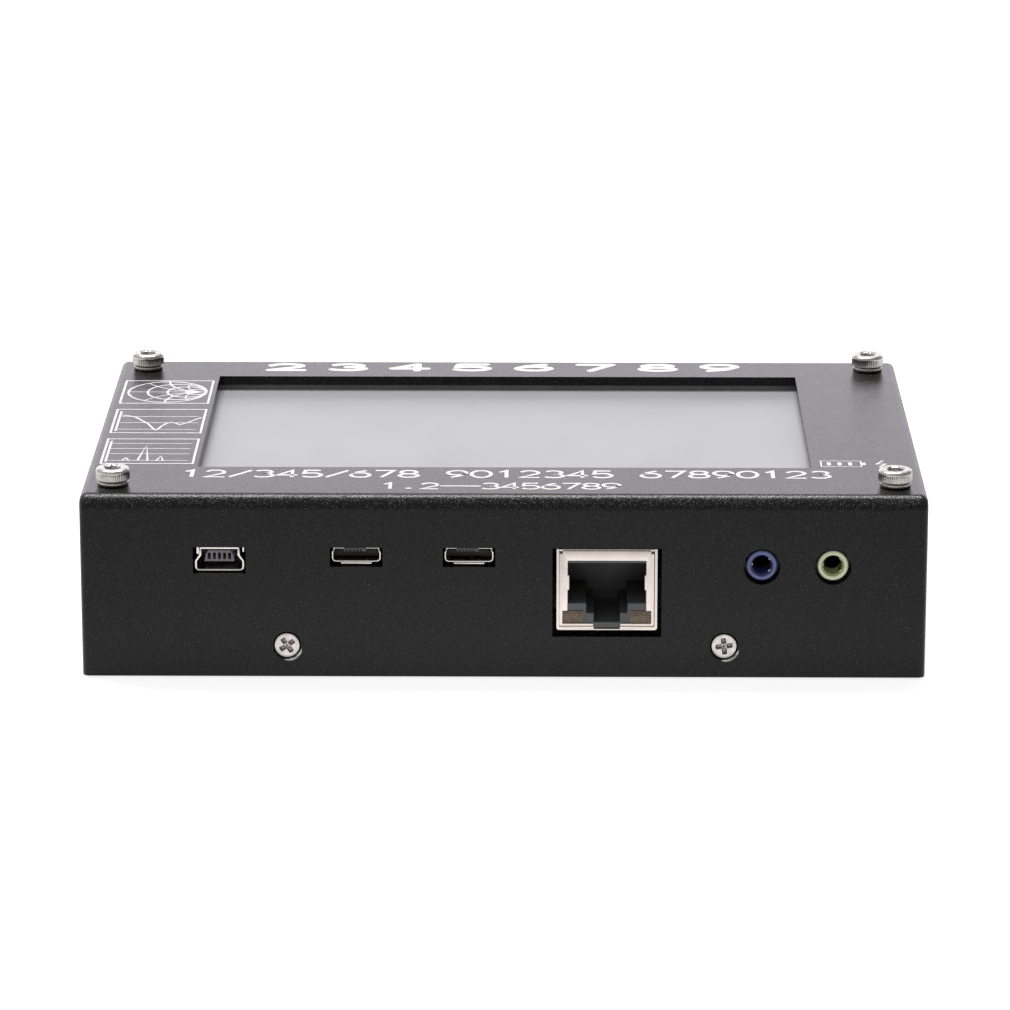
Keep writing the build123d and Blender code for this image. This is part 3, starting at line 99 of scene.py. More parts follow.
class Graph:
    """A node tree, with short ways to add and join its nodes."""

    def __init__(self, owner: bpy.types.Material | bpy.types.World) -> None:
        """Starts on the node tree of a material or a world.

        Args:
            owner: whose tree it is.
        """
        owner.use_nodes = True
        self.tree = owner.node_tree
        self.place = self.add("ShaderNodeTexCoord").outputs["Object"]

    def add(self, kind: str, **settings: object) -> bpy.types.Node:
        """Adds a node of that kind and sets its properties.

        Args:
            kind: the node's type.
            settings: values of its properties.

        Returns:
            The new node.
        """
        node = self.tree.nodes.new(kind)
        for key, value in settings.items():
            setattr(node, key, value)
        return node

    def feed(self, socket: Socket, value: object) -> None:
        """Links a socket to another node's output, or sets its own value.

        Args:
            socket: the input to fill.
            value: an output to link to it, or its own value.
        """
        if isinstance(value, Socket):
            self.tree.links.new(value, socket)
        else:
            socket.default_value = value

    def spot(self, stretch: Point) -> Socket:
        """Object coordinates, stretched along each axis by a factor.

        Args:
            stretch: factor along each axis.

        Returns:
            The stretched coordinates.
        """
        node = self.add("ShaderNodeMapping")
        self.feed(node.inputs["Vector"], self.place)
        self.feed(node.inputs["Scale"], stretch)
        return node.outputs["Vector"]

    def noise(self, size: float, detail: float = 2.0, stretch: Point = EVEN) -> Socket:
        """Soft noise.

        Args:
            size: width of one feature, in millimetres.
            detail: number of finer octaves.
            stretch: scale along each axis.

        Returns:
            The noise's factor output, near 0.5 on average.
        """
        node = self.add("ShaderNodeTexNoise")
        self.feed(node.inputs["Vector"], self.spot(stretch))
        self.feed(node.inputs["Scale"], 1 / (size * MM))
        self.feed(node.inputs["Detail"], detail)
        return node.outputs["Fac"]

    def cells(self, size: float, feature: str = "F1") -> bpy.types.Node:
        """A cell pattern whose cells are about that many millimetres wide.

        Args:
            size: width of one cell, in millimetres.
            feature: what the pattern measures.

        Returns:
            The pattern's node.
        """
        node = self.add("ShaderNodeTexVoronoi", feature=feature)
        self.feed(node.inputs["Vector"], self.place)
        self.feed(node.inputs["Scale"], 1 / (size * MM))
        return node

    def remap(self, value: object, span: Flat, low: object = 0.0, high: object = 1.0) -> Socket:
        """Maps a range onto another one, and stops at both ends.

        Args:
            value: what is mapped.
            span: where the range starts and ends.
            low: what its start becomes.
            high: what its end becomes.

        Returns:
            The mapped value.
        """
        node = self.add("ShaderNodeMapRange")
        keys = ("Value", "From Min", "From Max", "To Min", "To Max")
        for key, item in zip(keys, (value, *span, low, high)):
            self.feed(node.inputs[key], item)
        return node.outputs["Result"]

    def blend(self, factor: object, first: object, second: object) -> Socket:
        """Blends two colours by a factor.

        Args:
            factor: share of the second colour.
            first: the colour at 0.
            second: the colour at 1.

        Returns:
            The blended colour.
        """
        node = self.add("ShaderNodeMix", data_type="RGBA")
        self.feed(node.inputs["Factor"], factor)
        low, high, result = MIX_COLOUR
        self.feed(node.inputs[low], (*first, 1.0) if isinstance(first, tuple) else first)
        self.feed(node.inputs[high], (*second, 1.0) if isinstance(second, tuple) else second)
        return node.outputs[result]

    def combined(self, operation: str, first: object, second: object) -> Socket:
        """Combines two values with a math operation.

        Args:
            operation: the math operation.
            first: its first value.
            second: its second value.

        Returns:
            The result.
        """
        node = self.add("ShaderNodeMath", operation=operation)
        self.feed(node.inputs[0], first)
        self.feed(node.inputs[1], second)
        return node.outputs[0]

    def bump(self, height: object, depth: float) -> Socket:
        """A bumped normal from a height pattern whose full depth is in millimetres.

        Args:
            height: the height pattern.
            depth: its full depth, in millimetres.

        Returns:
            The bumped normal.
        """
        node = self.add("ShaderNodeBump")
        self.feed(node.inputs["Height"], height)
        self.feed(node.inputs["Distance"], depth * MM)
        return node.outputs["Normal"]


@dataclass(frozen=True)
class Finish:
    """A plain finish whose colour, gloss and relief all vary a little.

    Sizes and depths are in millimetres. The drift is the share by which the
    colour wanders, the patch is how wide each wander is, and the wear is the
    share by which the roughness wanders.
    """

    slot: str
    colour: Colour
    roughness: float = 0.45
    metallic: float = 0.0
    relief: Relief = Relief.MOULDED
    grain: float = 0.3
    depth: float = 0.004
    drift: float = 0.12
    patch: float = 5.0
    ior: float = 1.5
    coat: float = 0.0
    clear: float = 0.0
    wear: float = 0.12

    def shade(self, share: float) -> Colour:
        """The colour made lighter or darker by a factor."""
        return tuple(min(1.0, channel * share) for channel in self.colour)

    def height(self, graph: Graph) -> Socket:
        """The pattern of the relief, from 0 to 1.

        Args:
            graph: the node tree that is built.

        Returns:
            The pattern, from 0 to 1.
        """
        if self.relief is Relief.BRUSHED:
            return graph.noise(self.grain, 3.0, BRUSHING)
        if self.relief is Relief.CELLULAR:
            return graph.cells(self.grain).outputs["Distance"]
        if self.relief is Relief.TRACKED:
            edge = graph.cells(self.grain, "DISTANCE_TO_EDGE").outputs["Distance"]
            return graph.remap(edge, TRACK_SPAN)
        if self.relief is Relief.WRINKLED:
            return graph.noise(self.grain, 4.0, WRINKLING)
        return graph.noise(self.grain)

    def wandering(self, graph: Graph) -> Socket:
        """The finish's colour, a little darker and lighter from patch to patch."""
        wander = graph.remap(graph.noise(self.patch, 3.0), NOISE_SPAN)
        return graph.blend(wander, self.shade(1 - self.drift), self.shade(1 + self.drift))

    def tint(self, graph: Graph, height: Socket) -> Socket:
        """The wandering colour, lighter on copper tracks.

        Args:
            graph: the node tree that is built.
            height: the pattern of the relief.

        Returns:
            The colour's output.
        """
        if self.relief is Relief.TRACKED:
            return graph.blend(height, self.wandering(graph), self.shade(TRACK_SHADE))
        return self.wandering(graph)

    def gloss(self, graph: Graph) -> Socket:
        """The roughness, a little higher in worn patches.

        Args:
            graph: the node tree that is built.

        Returns:
            The roughness.
        """
        smear = graph.noise(self.patch / 2, 4.0)
        low, high = self.roughness * (1 - self.wear), self.roughness * (1 + self.wear)
        return graph.remap(smear, NOISE_SPAN, low, high)

    def material(self) -> bpy.types.Material:
        """Builds the finish as a node material.

        Returns:
            The new material.
        """
        made = bpy.data.materials.new(self.slot)
        graph = Graph(made)
        sockets = graph.tree.nodes["Principled BSDF"].inputs
        height = self.height(graph)
        graph.feed(sockets["Base Color"], self.tint(graph, height))
        graph.feed(sockets["Roughness"], self.gloss(graph))
        graph.feed(sockets["Normal"], graph.bump(height, self.depth))
        sockets["Metallic"].default_value = self.metallic
        sockets["IOR"].default_value = self.ior
        sockets["Coat Weight"].default_value = self.coat
        sockets["Transmission Weight"].default_value = self.clear
        return made


@dataclass(frozen=True)
class PowderCoat(Finish):
    """A baked powder coat: fine leathery grain with scattered bright flecks of painted sparkle.

    The peaks of the grain are lighter by a factor. The sparkles, painted highlights that stand in for glints
    of light off the grain, are a share of small cells, each with a soft core. On the rounded upper edges,
    where the surface leans between two slopes, the grain is taller and the painted sparkle denser and
    lighter, a painted highlight along the edge.
    """

    peak_span: Flat = (0.48, 0.7)
    peak_shade: float = 4.0
    painted_sparkle: float = 0.21
    sparkle_core: Flat = (0.4, 0.1)
    sparkle_share: float = 0.42
    sparkle_colour: Colour = (0.11, 0.11, 0.107)
    edge_start: Flat = (0.02, 0.5)
    edge_end: Flat = (0.99, 0.9)
    edge_sparkle_share: float = 0.8
    edge_sparkle_colour: Colour = (0.26, 0.26, 0.255)
    edge_relief: float = 1.6

    def edge(self, graph: Graph) -> Socket:
        """A mask that is 1 on the rounded upper edges, where the grain is taller and the painted sparkle
        denser and lighter.

        Args:
            graph: the node tree that is built.

        Returns:
            The mask, from 0 to 1.
        """
        turn = graph.add("ShaderNodeSeparateXYZ")
        graph.feed(turn.inputs[0], graph.add("ShaderNodeNewGeometry").outputs["Normal"])
        rising = graph.remap(turn.outputs["Z"], self.edge_start)
        return graph.combined("MULTIPLY", rising, graph.remap(turn.outputs["Z"], self.edge_end))

    def height(self, graph: Graph) -> Socket:
        """The grain, which is taller on the edges."""
        rise = graph.remap(self.edge(graph), (0.0, 1.0), 1.0, self.edge_relief)
        return graph.combined("MULTIPLY", super().height(graph), rise)

    def tint(self, graph: Graph, height: Socket) -> Socket:
        """Black that wanders a little, with scattered painted sparkle that is denser and lighter on the
        edges.

        Args:
            graph: the node tree that is built.
            height: the pattern of the relief.

        Returns:
            The colour's output.
        """
        peaks = graph.remap(height, self.peak_span)
        grained = graph.blend(peaks, self.wandering(graph), self.shade(self.peak_shade))
        # Painted sparkle: lighter cells stand in for glints of light off the grain, and on the rounded edges
        # they are denser and lighter, a painted highlight.
        edge = self.edge(graph)
        cells = graph.cells(self.painted_sparkle)
        chance = graph.add("ShaderNodeSeparateColor")
        graph.feed(chance.inputs["Color"], cells.outputs["Color"])
        rarity = graph.remap(edge, (0.0, 1.0), 1 - self.sparkle_share, 1 - self.edge_sparkle_share)
        lit = graph.remap(chance.outputs[0], (rarity, 1.0))
        core = graph.remap(cells.outputs["Distance"], self.sparkle_core)
        painted_sparkle = graph.blend(edge, self.sparkle_colour, self.edge_sparkle_colour)
        return graph.blend(graph.combined("MULTIPLY", lit, core), grained, painted_sparkle)


@dataclass(frozen=True)
class Metal(Finish):
    """Bare or plated metal with fine scratches and faint smears."""

    smear_span: Flat = (0.3, 0.7)
    smear: Flat = (-0.04, 0.05)
    scratch_span: Flat = (0.5, 0.75)
    scratch_size: float = 0.12
    scratch: float = 0.05

    def gloss(self, graph: Graph) -> Socket:
        """Roughness with fine scratches crossing faint smears.

        Args:
            graph: the node tree that is built.

        Returns:
            The roughness.
        """
        smear = graph.remap(graph.noise(self.patch / 3, 4.0), self.smear_span, *self.smear)
        scratches = graph.noise(self.scratch_size, 2.0, SCRATCHING)
        lines = graph.remap(scratches, self.scratch_span, 0.0, self.scratch)
        return graph.combined("ADD", graph.combined("ADD", smear, lines), self.roughness)


@dataclass(frozen=True)
class DisplayFace(Finish):
    """A matt touch film over a liquid crystal panel, with faint finger smears."""

    haze: float = 0.1
    haze_roughness: float = 0.5
    wipe_size: float = 14.0
    wipe_span: Flat = (0.5, 0.7)
    wipe: float = 0.06

    def material(self) -> bpy.types.Material:
        """The film's haze, which lights up at a shallow angle, over the panel's grey.

        Returns:
            The new material.
        """
        made = super().material()
        sockets = made.node_tree.nodes["Principled BSDF"].inputs
        sockets["Sheen Weight"].default_value = self.haze
        sockets["Sheen Roughness"].default_value = self.haze_roughness
        return made

    def gloss(self, graph: Graph) -> Socket:
        """Roughness that rises where the film has been wiped."""
        smear = graph.remap(graph.noise(self.wipe_size, 3.0, WIPING), self.wipe_span, 0.0, self.wipe)
        return graph.combined("ADD", smear, self.roughness)


@dataclass(frozen=True)
class SocketPlastic(Finish):
    """Plastic of a socket, with painted shade that deepens from its front face towards the parts behind it.
    """

    front: float = -41.6
    back: float = -40.6
    body_shade: float = 0.04

    def tint(self, graph: Graph, height: Socket) -> Socket:
        """The colour, with painted shade that deepens behind the front wall.

        Args:
            graph: the node tree that is built.
            height: the pattern of the relief.

        Returns:
            The colour's output.
        """
        place = graph.add("ShaderNodeSeparateXYZ")
        graph.feed(place.inputs[0], graph.place)
        # Painted shade: the colour darkens with depth inside the socket.
        deep = graph.remap(place.outputs["Y"], (self.front * MM, self.back * MM))
        return graph.blend(deep, super().tint(graph, height), self.shade(self.body_shade))


@dataclass(frozen=True)
class Ink(Finish):
    """Screen-printed ink with a slightly uneven body."""


FINISHES: dict[str, Finish] = {
    finish.slot: finish
    for finish in (
        PowderCoat(
            "case_coat", (0.0012, 0.0012, 0.0013), 0.27, grain=0.3, depth=0.04, drift=0.2, patch=7.0,
            ior=1.3, wear=0.03,
        ),
        Metal(
            "stainless", (0.5, 0.475, 0.45), 0.24, 1.0, Relief.BRUSHED, grain=0.2, depth=0.004, drift=0.1,
            patch=1.4,
        ),
        Metal("nickel", (0.57, 0.51, 0.475), 0.24, 1.0, Relief.BRUSHED, grain=0.3, depth=0.003, drift=0.05),
        Metal("brass_plate", (0.83, 0.62, 0.28), 0.22, 1.0, grain=0.4, depth=0.002, drift=0.06),
        Finish("black_plastic", (0.012, 0.012, 0.013), 0.5, grain=0.25, depth=0.005),
        Finish("grey_plastic", (0.16, 0.152, 0.172), 0.42, grain=0.3, depth=0.004),
        Finish("gloss_black", (0.01, 0.01, 0.011), 0.25, grain=0.4, depth=0.003),
        Finish(
            "lamp_amber", (0.13, 0.085, 0.045), 0.25, grain=0.4, depth=0.004, drift=0.35, patch=0.8, coat=0.3,
        ),
        # The jacks' noses get painted shade behind their front faces.
        SocketPlastic("blue_plastic", (0.135, 0.15, 0.33), 0.32, grain=0.3, depth=0.004),
        SocketPlastic("green_plastic", (0.87, 0.92, 0.64), 0.32, grain=0.3, depth=0.004),
        Finish("white_plastic", (0.78, 0.78, 0.76), 0.35, grain=0.35, depth=0.004, drift=0.03),
        DisplayFace(
            "display_face", (0.23, 0.23, 0.241), 0.36, grain=0.12, depth=0.0006, drift=0.02, patch=25.0,
            ior=1.3,
        ),
        Finish("foam", (0.012, 0.012, 0.012), 0.9, relief=Relief.CELLULAR, grain=0.4, depth=0.12),
        Finish(
            "board_green", (0.006, 0.075, 0.03), 0.35, relief=Relief.TRACKED, grain=2.2, depth=0.03, coat=0.4,
        ),
        Finish(
            "board_blue", (0.006, 0.02, 0.14), 0.35, relief=Relief.TRACKED, grain=2.2, depth=0.03, coat=0.4,
        ),
        Finish("chip_black", (0.014, 0.014, 0.015), 0.55, grain=0.2, depth=0.008),
        Finish("ceramic_tan", (0.3, 0.2, 0.11), 0.45, grain=0.15, depth=0.005),
        Metal("tinned_steel", (0.6, 0.6, 0.61), 0.3, 1.0, Relief.BRUSHED, grain=0.3, depth=0.003),
        Metal("cell_foil", (0.58, 0.59, 0.6), 0.3, 1.0, Relief.WRINKLED, grain=3.0, depth=0.12),
        Finish("red_sheath", (0.4, 0.012, 0.01), 0.4, grain=0.4, depth=0.006),
        Finish("black_sheath", (0.012, 0.012, 0.012), 0.4, grain=0.4, depth=0.006),
        Finish("brown_sheath", (0.17, 0.05, 0.02), 0.4, grain=0.4, depth=0.006),
        Finish("led_red", (0.5, 0.015, 0.01), 0.12, grain=0.6, depth=0.003, coat=0.5, clear=0.35),
    )
}
INK = Ink("white_plastic", (0.5, 0.5, 0.5), 0.4, grain=0.12, depth=0.003, drift=0.04, patch=1.5)
# Darker steel for the cover screws' flat tops, a duller finish, and for their hex recesses, where it is
# painted shade.
DULL_TOP_AND_SHADE_STEEL = Metal("stainless", (0.4, 0.375, 0.36), 0.3, 1.0, grain=0.14, depth=0.01, drift=0.2, patch=0.6)
WORN_STEEL = Metal("stainless", (0.53, 0.49, 0.48), 0.33, 1.0, grain=0.16, depth=0.012, drift=0.14, patch=0.5)
# Dark, brownish steel down in the tray screws' cross recesses: painted shade.
RECESS_SHADE_STEEL = Metal("stainless", (0.24, 0.21, 0.195), 0.5, 1.0, grain=0.12, depth=0.02, drift=0.5, patch=0.3)
SCRAPED_METAL = Metal(
    "stainless", (0.36, 0.36, 0.355), 0.55, 1.0, grain=0.15, depth=0.012, drift=0.5, patch=0.6,
)
BRIGHT_SHELL = Metal(
    "nickel", (0.68, 0.66, 0.62), 0.22, 1.0, Relief.BRUSHED, grain=0.3, depth=0.003, drift=0.05,
)
# Darker copies of the jack colours for the bores: painted shade inside the jacks.
SHADED_BLUE_BORE = Finish("blue_plastic", (0.045, 0.055, 0.19), 0.4, grain=0.3, depth=0.004)
SHADED_GREEN_BORE = Finish("green_plastic", (0.42, 0.47, 0.23), 0.4, grain=0.3, depth=0.004)
# The network socket's grey plastic, with painted shade that deepens inside its cavity.
SOCKET_GREY = SocketPlastic(
    "black_plastic", (0.075, 0.078, 0.082), 0.38, grain=0.25, depth=0.004, front=-41.3, back=-33.0,
    body_shade=0.3,
)
GASKET_GREY = Finish("foam", (0.11, 0.11, 0.107), 0.85, relief=Relief.CELLULAR, grain=0.4, depth=0.06)
# Light amber patches on the lamp windows: painted glints.
LAMP_GLINT = Finish("lamp_amber", (0.42, 0.27, 0.12), 0.3, grain=0.2, depth=0.004)
TONGUE_GREY = Finish("black_plastic", (0.075, 0.075, 0.078), 0.4, grain=0.2, depth=0.004)


class Paintbox:
    """Makes each finish's material once and hands it out again."""

    def __init__(self) -> None:
        """Starts with no material made."""
        self.made: dict[Finish, bpy.types.Material] = {}

    def of(self, finish: Finish) -> bpy.types.Material:
        """The material of a finish.

        Args:
            finish: the finish that is asked for.

        Returns:
            Its material.
        """
        if finish not in self.made:
            self.made[finish] = finish.material()
        return self.made[finish]


PAINT = Paintbox()


# --- Places, outlines and meshes ---


@dataclass(frozen=True)
class Seat:
    """A place on the object: an origin in millimetres and two axes of what is built there.

    The third axis, outward, is square to both.
    """

    origin: Point
    right: Point = (1.0, 0.0, 0.0)
    up: Point = (0.0, 1.0, 0.0)

    def at(self, x: float, y: float, z: float = 0.0) -> Vector:
        """The point in the object's frame, in metres, of a local point in millimetres."""
        right, up = Vector(self.right), Vector(self.up)
        return (Vector(self.origin) + right * x + up * y + right.cross(up) * z) * MM

    def local(self, spot: Vector) -> Vector:
        """The local point in millimetres of a point of the object's frame in metres.

        Args:
            spot: a point of the object's frame, in metres.

        Returns:
            The same point on this seat, in millimetres.
        """
        right, up = Vector(self.right), Vector(self.up)
        off = spot / MM - Vector(self.origin)
        return Vector((off.dot(right), off.dot(up), off.dot(right.cross(up))))

    def turned(self, degrees: float) -> "Seat":
        """The same place with its axes turned about the outward one.

        Args:
            degrees: the turn, counterclockwise.

        Returns:
            The turned seat.
        """
        right, up = Vector(self.right), Vector(self.up)
        spin = Matrix.Rotation(math.radians(degrees), 3, right.cross(up))
        return Seat(self.origin, tuple(spin @ right), tuple(spin @ up))


class Face(Enum):
    """A face of the case, as the right and up axes of someone who looks at it."""

    TOP = ((1.0, 0.0, 0.0), (0.0, 1.0, 0.0))
    FRONT = ((1.0, 0.0, 0.0), (0.0, 0.0, 1.0))
    REAR = ((-1.0, 0.0, 0.0), (0.0, 0.0, 1.0))
    RIGHT = ((0.0, 1.0, 0.0), (0.0, 0.0, 1.0))

    def seat(self, x: float, y: float, z: float) -> Seat:
        """A seat at that point of the object with this face's axes."""
        return Seat((x, y, z), *self.value)


def polar(reach: float, turn: float) -> Flat:
    """The point at a distance from the middle and an angle in radians."""
    return (reach * math.cos(turn), reach * math.sin(turn))


def circle(radius: float, count: int) -> list[Flat]:
    """Points of a circle, counterclockwise."""
    return [polar(radius, math.tau * i / count) for i in range(count)]


def arc(centre: Flat, radii: Flat, start: float, end: float, count: int) -> list[Flat]:
    """Points of an elliptical arc between two angles in degrees, both ends included."""
    turns = [math.radians(start + (end - start) * i / (count - 1)) for i in range(count)]
    return [(centre[0] + radii[0] * math.cos(t), centre[1] + radii[1] * math.sin(t)) for t in turns]


def rounded(corners: Sequence[Point], steps: int = 6) -> list[Flat]:
    """A closed outline with its corners rounded.

    Args:
        corners: x, y and corner radius of each, counterclockwise.
        steps: segments in each rounded corner.

    Returns:
        The outline's points; a corner of no radius stays one point.
    """
    outline: list[Flat] = []
    for i, (x, y, radius) in enumerate(corners):
        here = Vector((x, y))
        if radius <= 0:
            outline.append((x, y))
            continue
        back = (Vector(corners[i - 1][:2]) - here).normalized()
        ahead = (Vector(corners[(i + 1) % len(corners)][:2]) - here).normalized()
        half = back.angle(ahead) / 2
        middle = here + (back + ahead).normalized() * (radius / math.sin(half))
        start = here + back * (radius / math.tan(half)) - middle
        sweep = start.angle_signed(here + ahead * (radius / math.tan(half)) - middle)
        for k in range(steps + 1):
            turn = -sweep * k / steps
            cos, sin = math.cos(turn), math.sin(turn)
            outline.append((
                middle.x + start.x * cos - start.y * sin, middle.y + start.x * sin + start.y * cos,
            ))
    return outline


def box(middle: Flat, size: Flat, radius: float, steps: int = 2) -> list[Flat]:
    """A rounded rectangle.

    Args:
        middle: its middle.
        size: its width and height.
        radius: radius of its corners.
        steps: segments in each corner.

    Returns:
        The outline.
    """
    x, y = size[0] / 2, size[1] / 2
    corners = [(-x, -y, radius), (x, -y, radius), (x, y, radius), (-x, y, radius)]
    return [(px + middle[0], py + middle[1]) for px, py in rounded(corners, steps)]


def inset(outline: Sequence[Flat], distance: float) -> list[Flat]:
    """The counterclockwise outline moved inwards all round, or outwards if negative.

    Args:
        outline: the counterclockwise outline.
        distance: how far it moves inwards.

    Returns:
        The moved outline, with as many points.
    """
    moved = []
    count = len(outline)
    for i, (x, y) in enumerate(outline):
        before, after = outline[i - 1], outline[(i + 1) % count]
        first = Vector((before[1] - y, x - before[0])).normalized()
        second = Vector((y - after[1], after[0] - x)).normalized()
        mitre = (first + second) / (1 + first.dot(second))
        moved.append((x + mitre.x * distance, y + mitre.y * distance))
    return moved


def level(outline: Iterable[Flat], height: float) -> list[Point]:
    """The outline's points at one height."""
    return [(x, y, height) for x, y in outline]


def thread_cut(height: float, share: float, pitch: float) -> float:
    """How far a thread is cut, from 0 at a crest to 1, at a height and a share of the turn."""
    return abs(((height / pitch - share) % 1.0) * 2 - 1)


def quarter(radius: float, steps: int) -> list[Flat]:
    """Inset and drop of points down a rounded edge, from the flat top to the side."""
    turns = [math.pi / 2 * k / steps for k in range(steps + 1)]
    return [(radius * (1 - math.sin(t)), radius * (1 - math.cos(t))) for t in turns]


class MeshMaker:
    """Collects the closed solids of one piece, in millimetres on a seat."""

    def __init__(self, seat: Seat) -> None:
        """Starts an empty piece on a seat."""
        self.seat = seat
        self.mesh = bmesh.new()

    def loft(self, rows: Sequence[Sequence[Point]], looped: bool = False) -> "MeshMaker":
        """Joins closed sections with quads and closes both ends.

        Args:
            rows: sections of equal count; a section of one point is a tip.
            looped: joins the last section to the first and closes no end.

        Returns:
            This maker.
        """
        made = [[self.mesh.verts.new(self.seat.at(*point)) for point in row] for row in rows]
        pairs = list(zip(made, made[1:]))
        if looped:
            pairs.append((made[-1], made[0]))
        for low, high in pairs:
            count = max(len(low), len(high))
            for i in range(count):
                j = (i + 1) % count
                ring = (low[i % len(low)], low[j % len(low)], high[j % len(high)], high[i % len(high)])
                self.mesh.faces.new(list(dict.fromkeys(ring)))
        if not looped:
            for row in (made[0], made[-1]):
                if len(row) > 2:
                    self.mesh.faces.new(row)
        return self

    def turned(self, profile: Sequence[Flat], count: int, looped: bool = False) -> "MeshMaker":
        """Turns a profile of radius and height about the outward axis."""
        rows = [[(0.0, 0.0, z)] if radius <= 0 else level(circle(radius, count), z) for radius, z in profile]
        return self.loft(rows, looped)

    def block(self, outline: Sequence[Flat], low: float, high: float, edge: float) -> "MeshMaker":
        """Raises an outline between two heights, with a rounded rim at the top.

        Args:
            outline: the counterclockwise outline.
            low: height of its underside.
            high: height of its face.
            edge: radius of the rim.

        Returns:
            This maker.
        """
        rows = [level(outline, low)]
        rim = reversed(quarter(edge, RIM_STEPS))
        return self.loft(rows + [level(inset(outline, away), high - drop) for away, drop in rim])

    def plate(
        self, outer: Sequence[Flat], holes: Sequence[Sequence[Flat]], low: float, high: float, edge: float
    ) -> "MeshMaker":
        """Raises a sheet with holes between two heights, with its upper edges rounded.

        Args:
            outer: the counterclockwise outline of the sheet.
            holes: the counterclockwise outline of each hole.
            low: height of its underside.
            high: height of its face.
            edge: radius of the upper edges.

        Returns:
            This maker.
        """
        rims: tuple[list, list] = ([], [])
        for outline, side in [(outer, 1)] + [(hole, -1) for hole in holes]:
            rows = [level(outline, low)]
            for away, drop in reversed(quarter(edge, RIM_STEPS)):
                rows.append(level(inset(outline, side * away), high - drop))
            made = [[self.mesh.verts.new(self.seat.at(*point)) for point in row] for row in rows]
            count = len(outline)
            for below, above in zip(made, made[1:]):
                for i in range(count):
                    j = (i + 1) % count
                    self.mesh.faces.new((below[i], below[j], above[j], above[i]))
            for rim, row in zip(rims, (made[0], made[-1])):
                rim += [self.mesh.edges.get((row[i], row[(i + 1) % count])) for i in range(count)]
        for rim in rims:
            bmesh.ops.triangle_fill(self.mesh, use_beauty=True, edges=rim)
        return self

    def chain(self, line: Sequence[Flat], width: float, low: float, high: float, step: float) -> "MeshMaker":
        """Lays a bold line as bars with a round joint at each point, each a step above the last.

        Args:
            line: the points of the line.
            width: width of the band.
            low: height of its underside.
            high: height of the first joint.
            step: rise from each bar or joint to the next.

        Returns:
            This maker.
        """
        for i, (x, y) in enumerate(line):
            rise = high + 2 * i * step
            joint = [(x + px, y + py) for px, py in circle(width / 2, JOINT_POINTS)]
            self.loft([level(joint, low), level(joint, rise)])
            if i:
                back = Vector((line[i - 1][0] - x, line[i - 1][1] - y))
                across = Vector((-back.y, back.x)).normalized() * (width / 2)
                bar = [
                    (x + across.x, y + across.y), (x - across.x, y - across.y),
                    (x + back.x - across.x, y + back.y - across.y),
                    (x + back.x + across.x, y + back.y + across.y),
                ]
                self.loft([level(bar, low), level(bar, rise - step)])
        return self

    def stroke(
        self, line: Sequence[Flat], width: float, low: float, high: float, closed: bool = False
    ) -> "MeshMaker":
        """Lays a flat band along a line.

        Args:
            line: the points of the line.
            width: width of the band.
            low: height of its underside.
            high: height of its face.
            closed: joins the last point to the first.

        Returns:
            This maker.
        """
        rows = []
        count = len(line)
        for i, (x, y) in enumerate(line):
            before = line[i - 1] if i or closed else None
            after = line[(i + 1) % count] if i < count - 1 or closed else None
            first = Vector((before[1] - y, x - before[0])).normalized() if before else None
            second = Vector((y - after[1], after[0] - x)).normalized() if after else None
            first, second = first or second, second or first
            mitre = (first + second) / max(MITRE_LIMIT, 1 + first.dot(second)) * (width / 2)
            rows.append([
                (x + mitre.x, y + mitre.y, low), (x + mitre.x, y + mitre.y, high),
                (x - mitre.x, y - mitre.y, high), (x - mitre.x, y - mitre.y, low),
            ])
        return self.loft(rows, closed)

    def mark(self, stained: Callable[[list[Vector]], bool]) -> "MeshMaker":
        """Gives material 1 to the faces whose points on the seat pass a test.

        Args:
            stained: the test, which takes a face's points in millimetres.

        Returns:
            This maker.
        """
        for polygon in self.mesh.faces:
            polygon.material_index = int(stained([self.seat.local(vert.co) for vert in polygon.verts]))
        return self

    def piece(
        self, name: str, finish: Finish, replaces: Sequence[str] = (), body: str = CASE,
        stain: Finish | None = None,
    ) -> bpy.types.Object:
        """Writes the collected solids as one piece of the model.

        Args:
            name: the piece's name.
            finish: what it is made of.
            replaces: the CAD nodes that it stands for.
            body: the body that it moves with.
            stain: finish of the faces that are marked with material 1.

        Returns:
            The new object.
        """
        bmesh.ops.recalc_face_normals(self.mesh, faces=self.mesh.faces[:])
        data = bpy.data.meshes.new(name)
        self.mesh.to_mesh(data)
        self.mesh.free()
        data.shade_smooth()
        data.set_sharp_from_angle(angle=math.radians(CREASE))
        for layer in (finish, stain):
            if layer:
                data.materials.append(PAINT.of(layer))
        thing = bpy.data.objects.new(name, data)
        bpy.context.scene.collection.objects.link(thing)
        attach(thing, body)
        if replaces:
            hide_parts(*replaces)
        return thing


# --- Studio ---


@dataclass(frozen=True)
class Panel:
    """A rectangular soft lamp that faces a target and isn't seen itself.

    Its places and sizes are in metres and its power in watts. Glossy surfaces
    reflect its panel only if it is mirrored.
    """

    name: str
    place: Point
    target: Point
    size: Flat
    power: float
    colour: Colour = (1.0, 1.0, 1.0)
    mirrored: bool = True

    def hang(self) -> None:
        """Adds the lamp to the scene."""
        data = bpy.data.lights.new(self.name, "AREA")
        data.shape = "RECTANGLE"
        data.size, data.size_y = self.size
        data.energy = self.power
        data.color = self.colour
        thing = bpy.data.objects.new(self.name, data)
        thing.location = self.place
        ahead = Vector(self.target) - Vector(self.place)
        thing.rotation_euler = ahead.to_track_quat("-Z", "Y").to_euler()
        thing.visible_camera = False
        thing.visible_glossy = self.mirrored
        bpy.context.scene.collection.objects.link(thing)


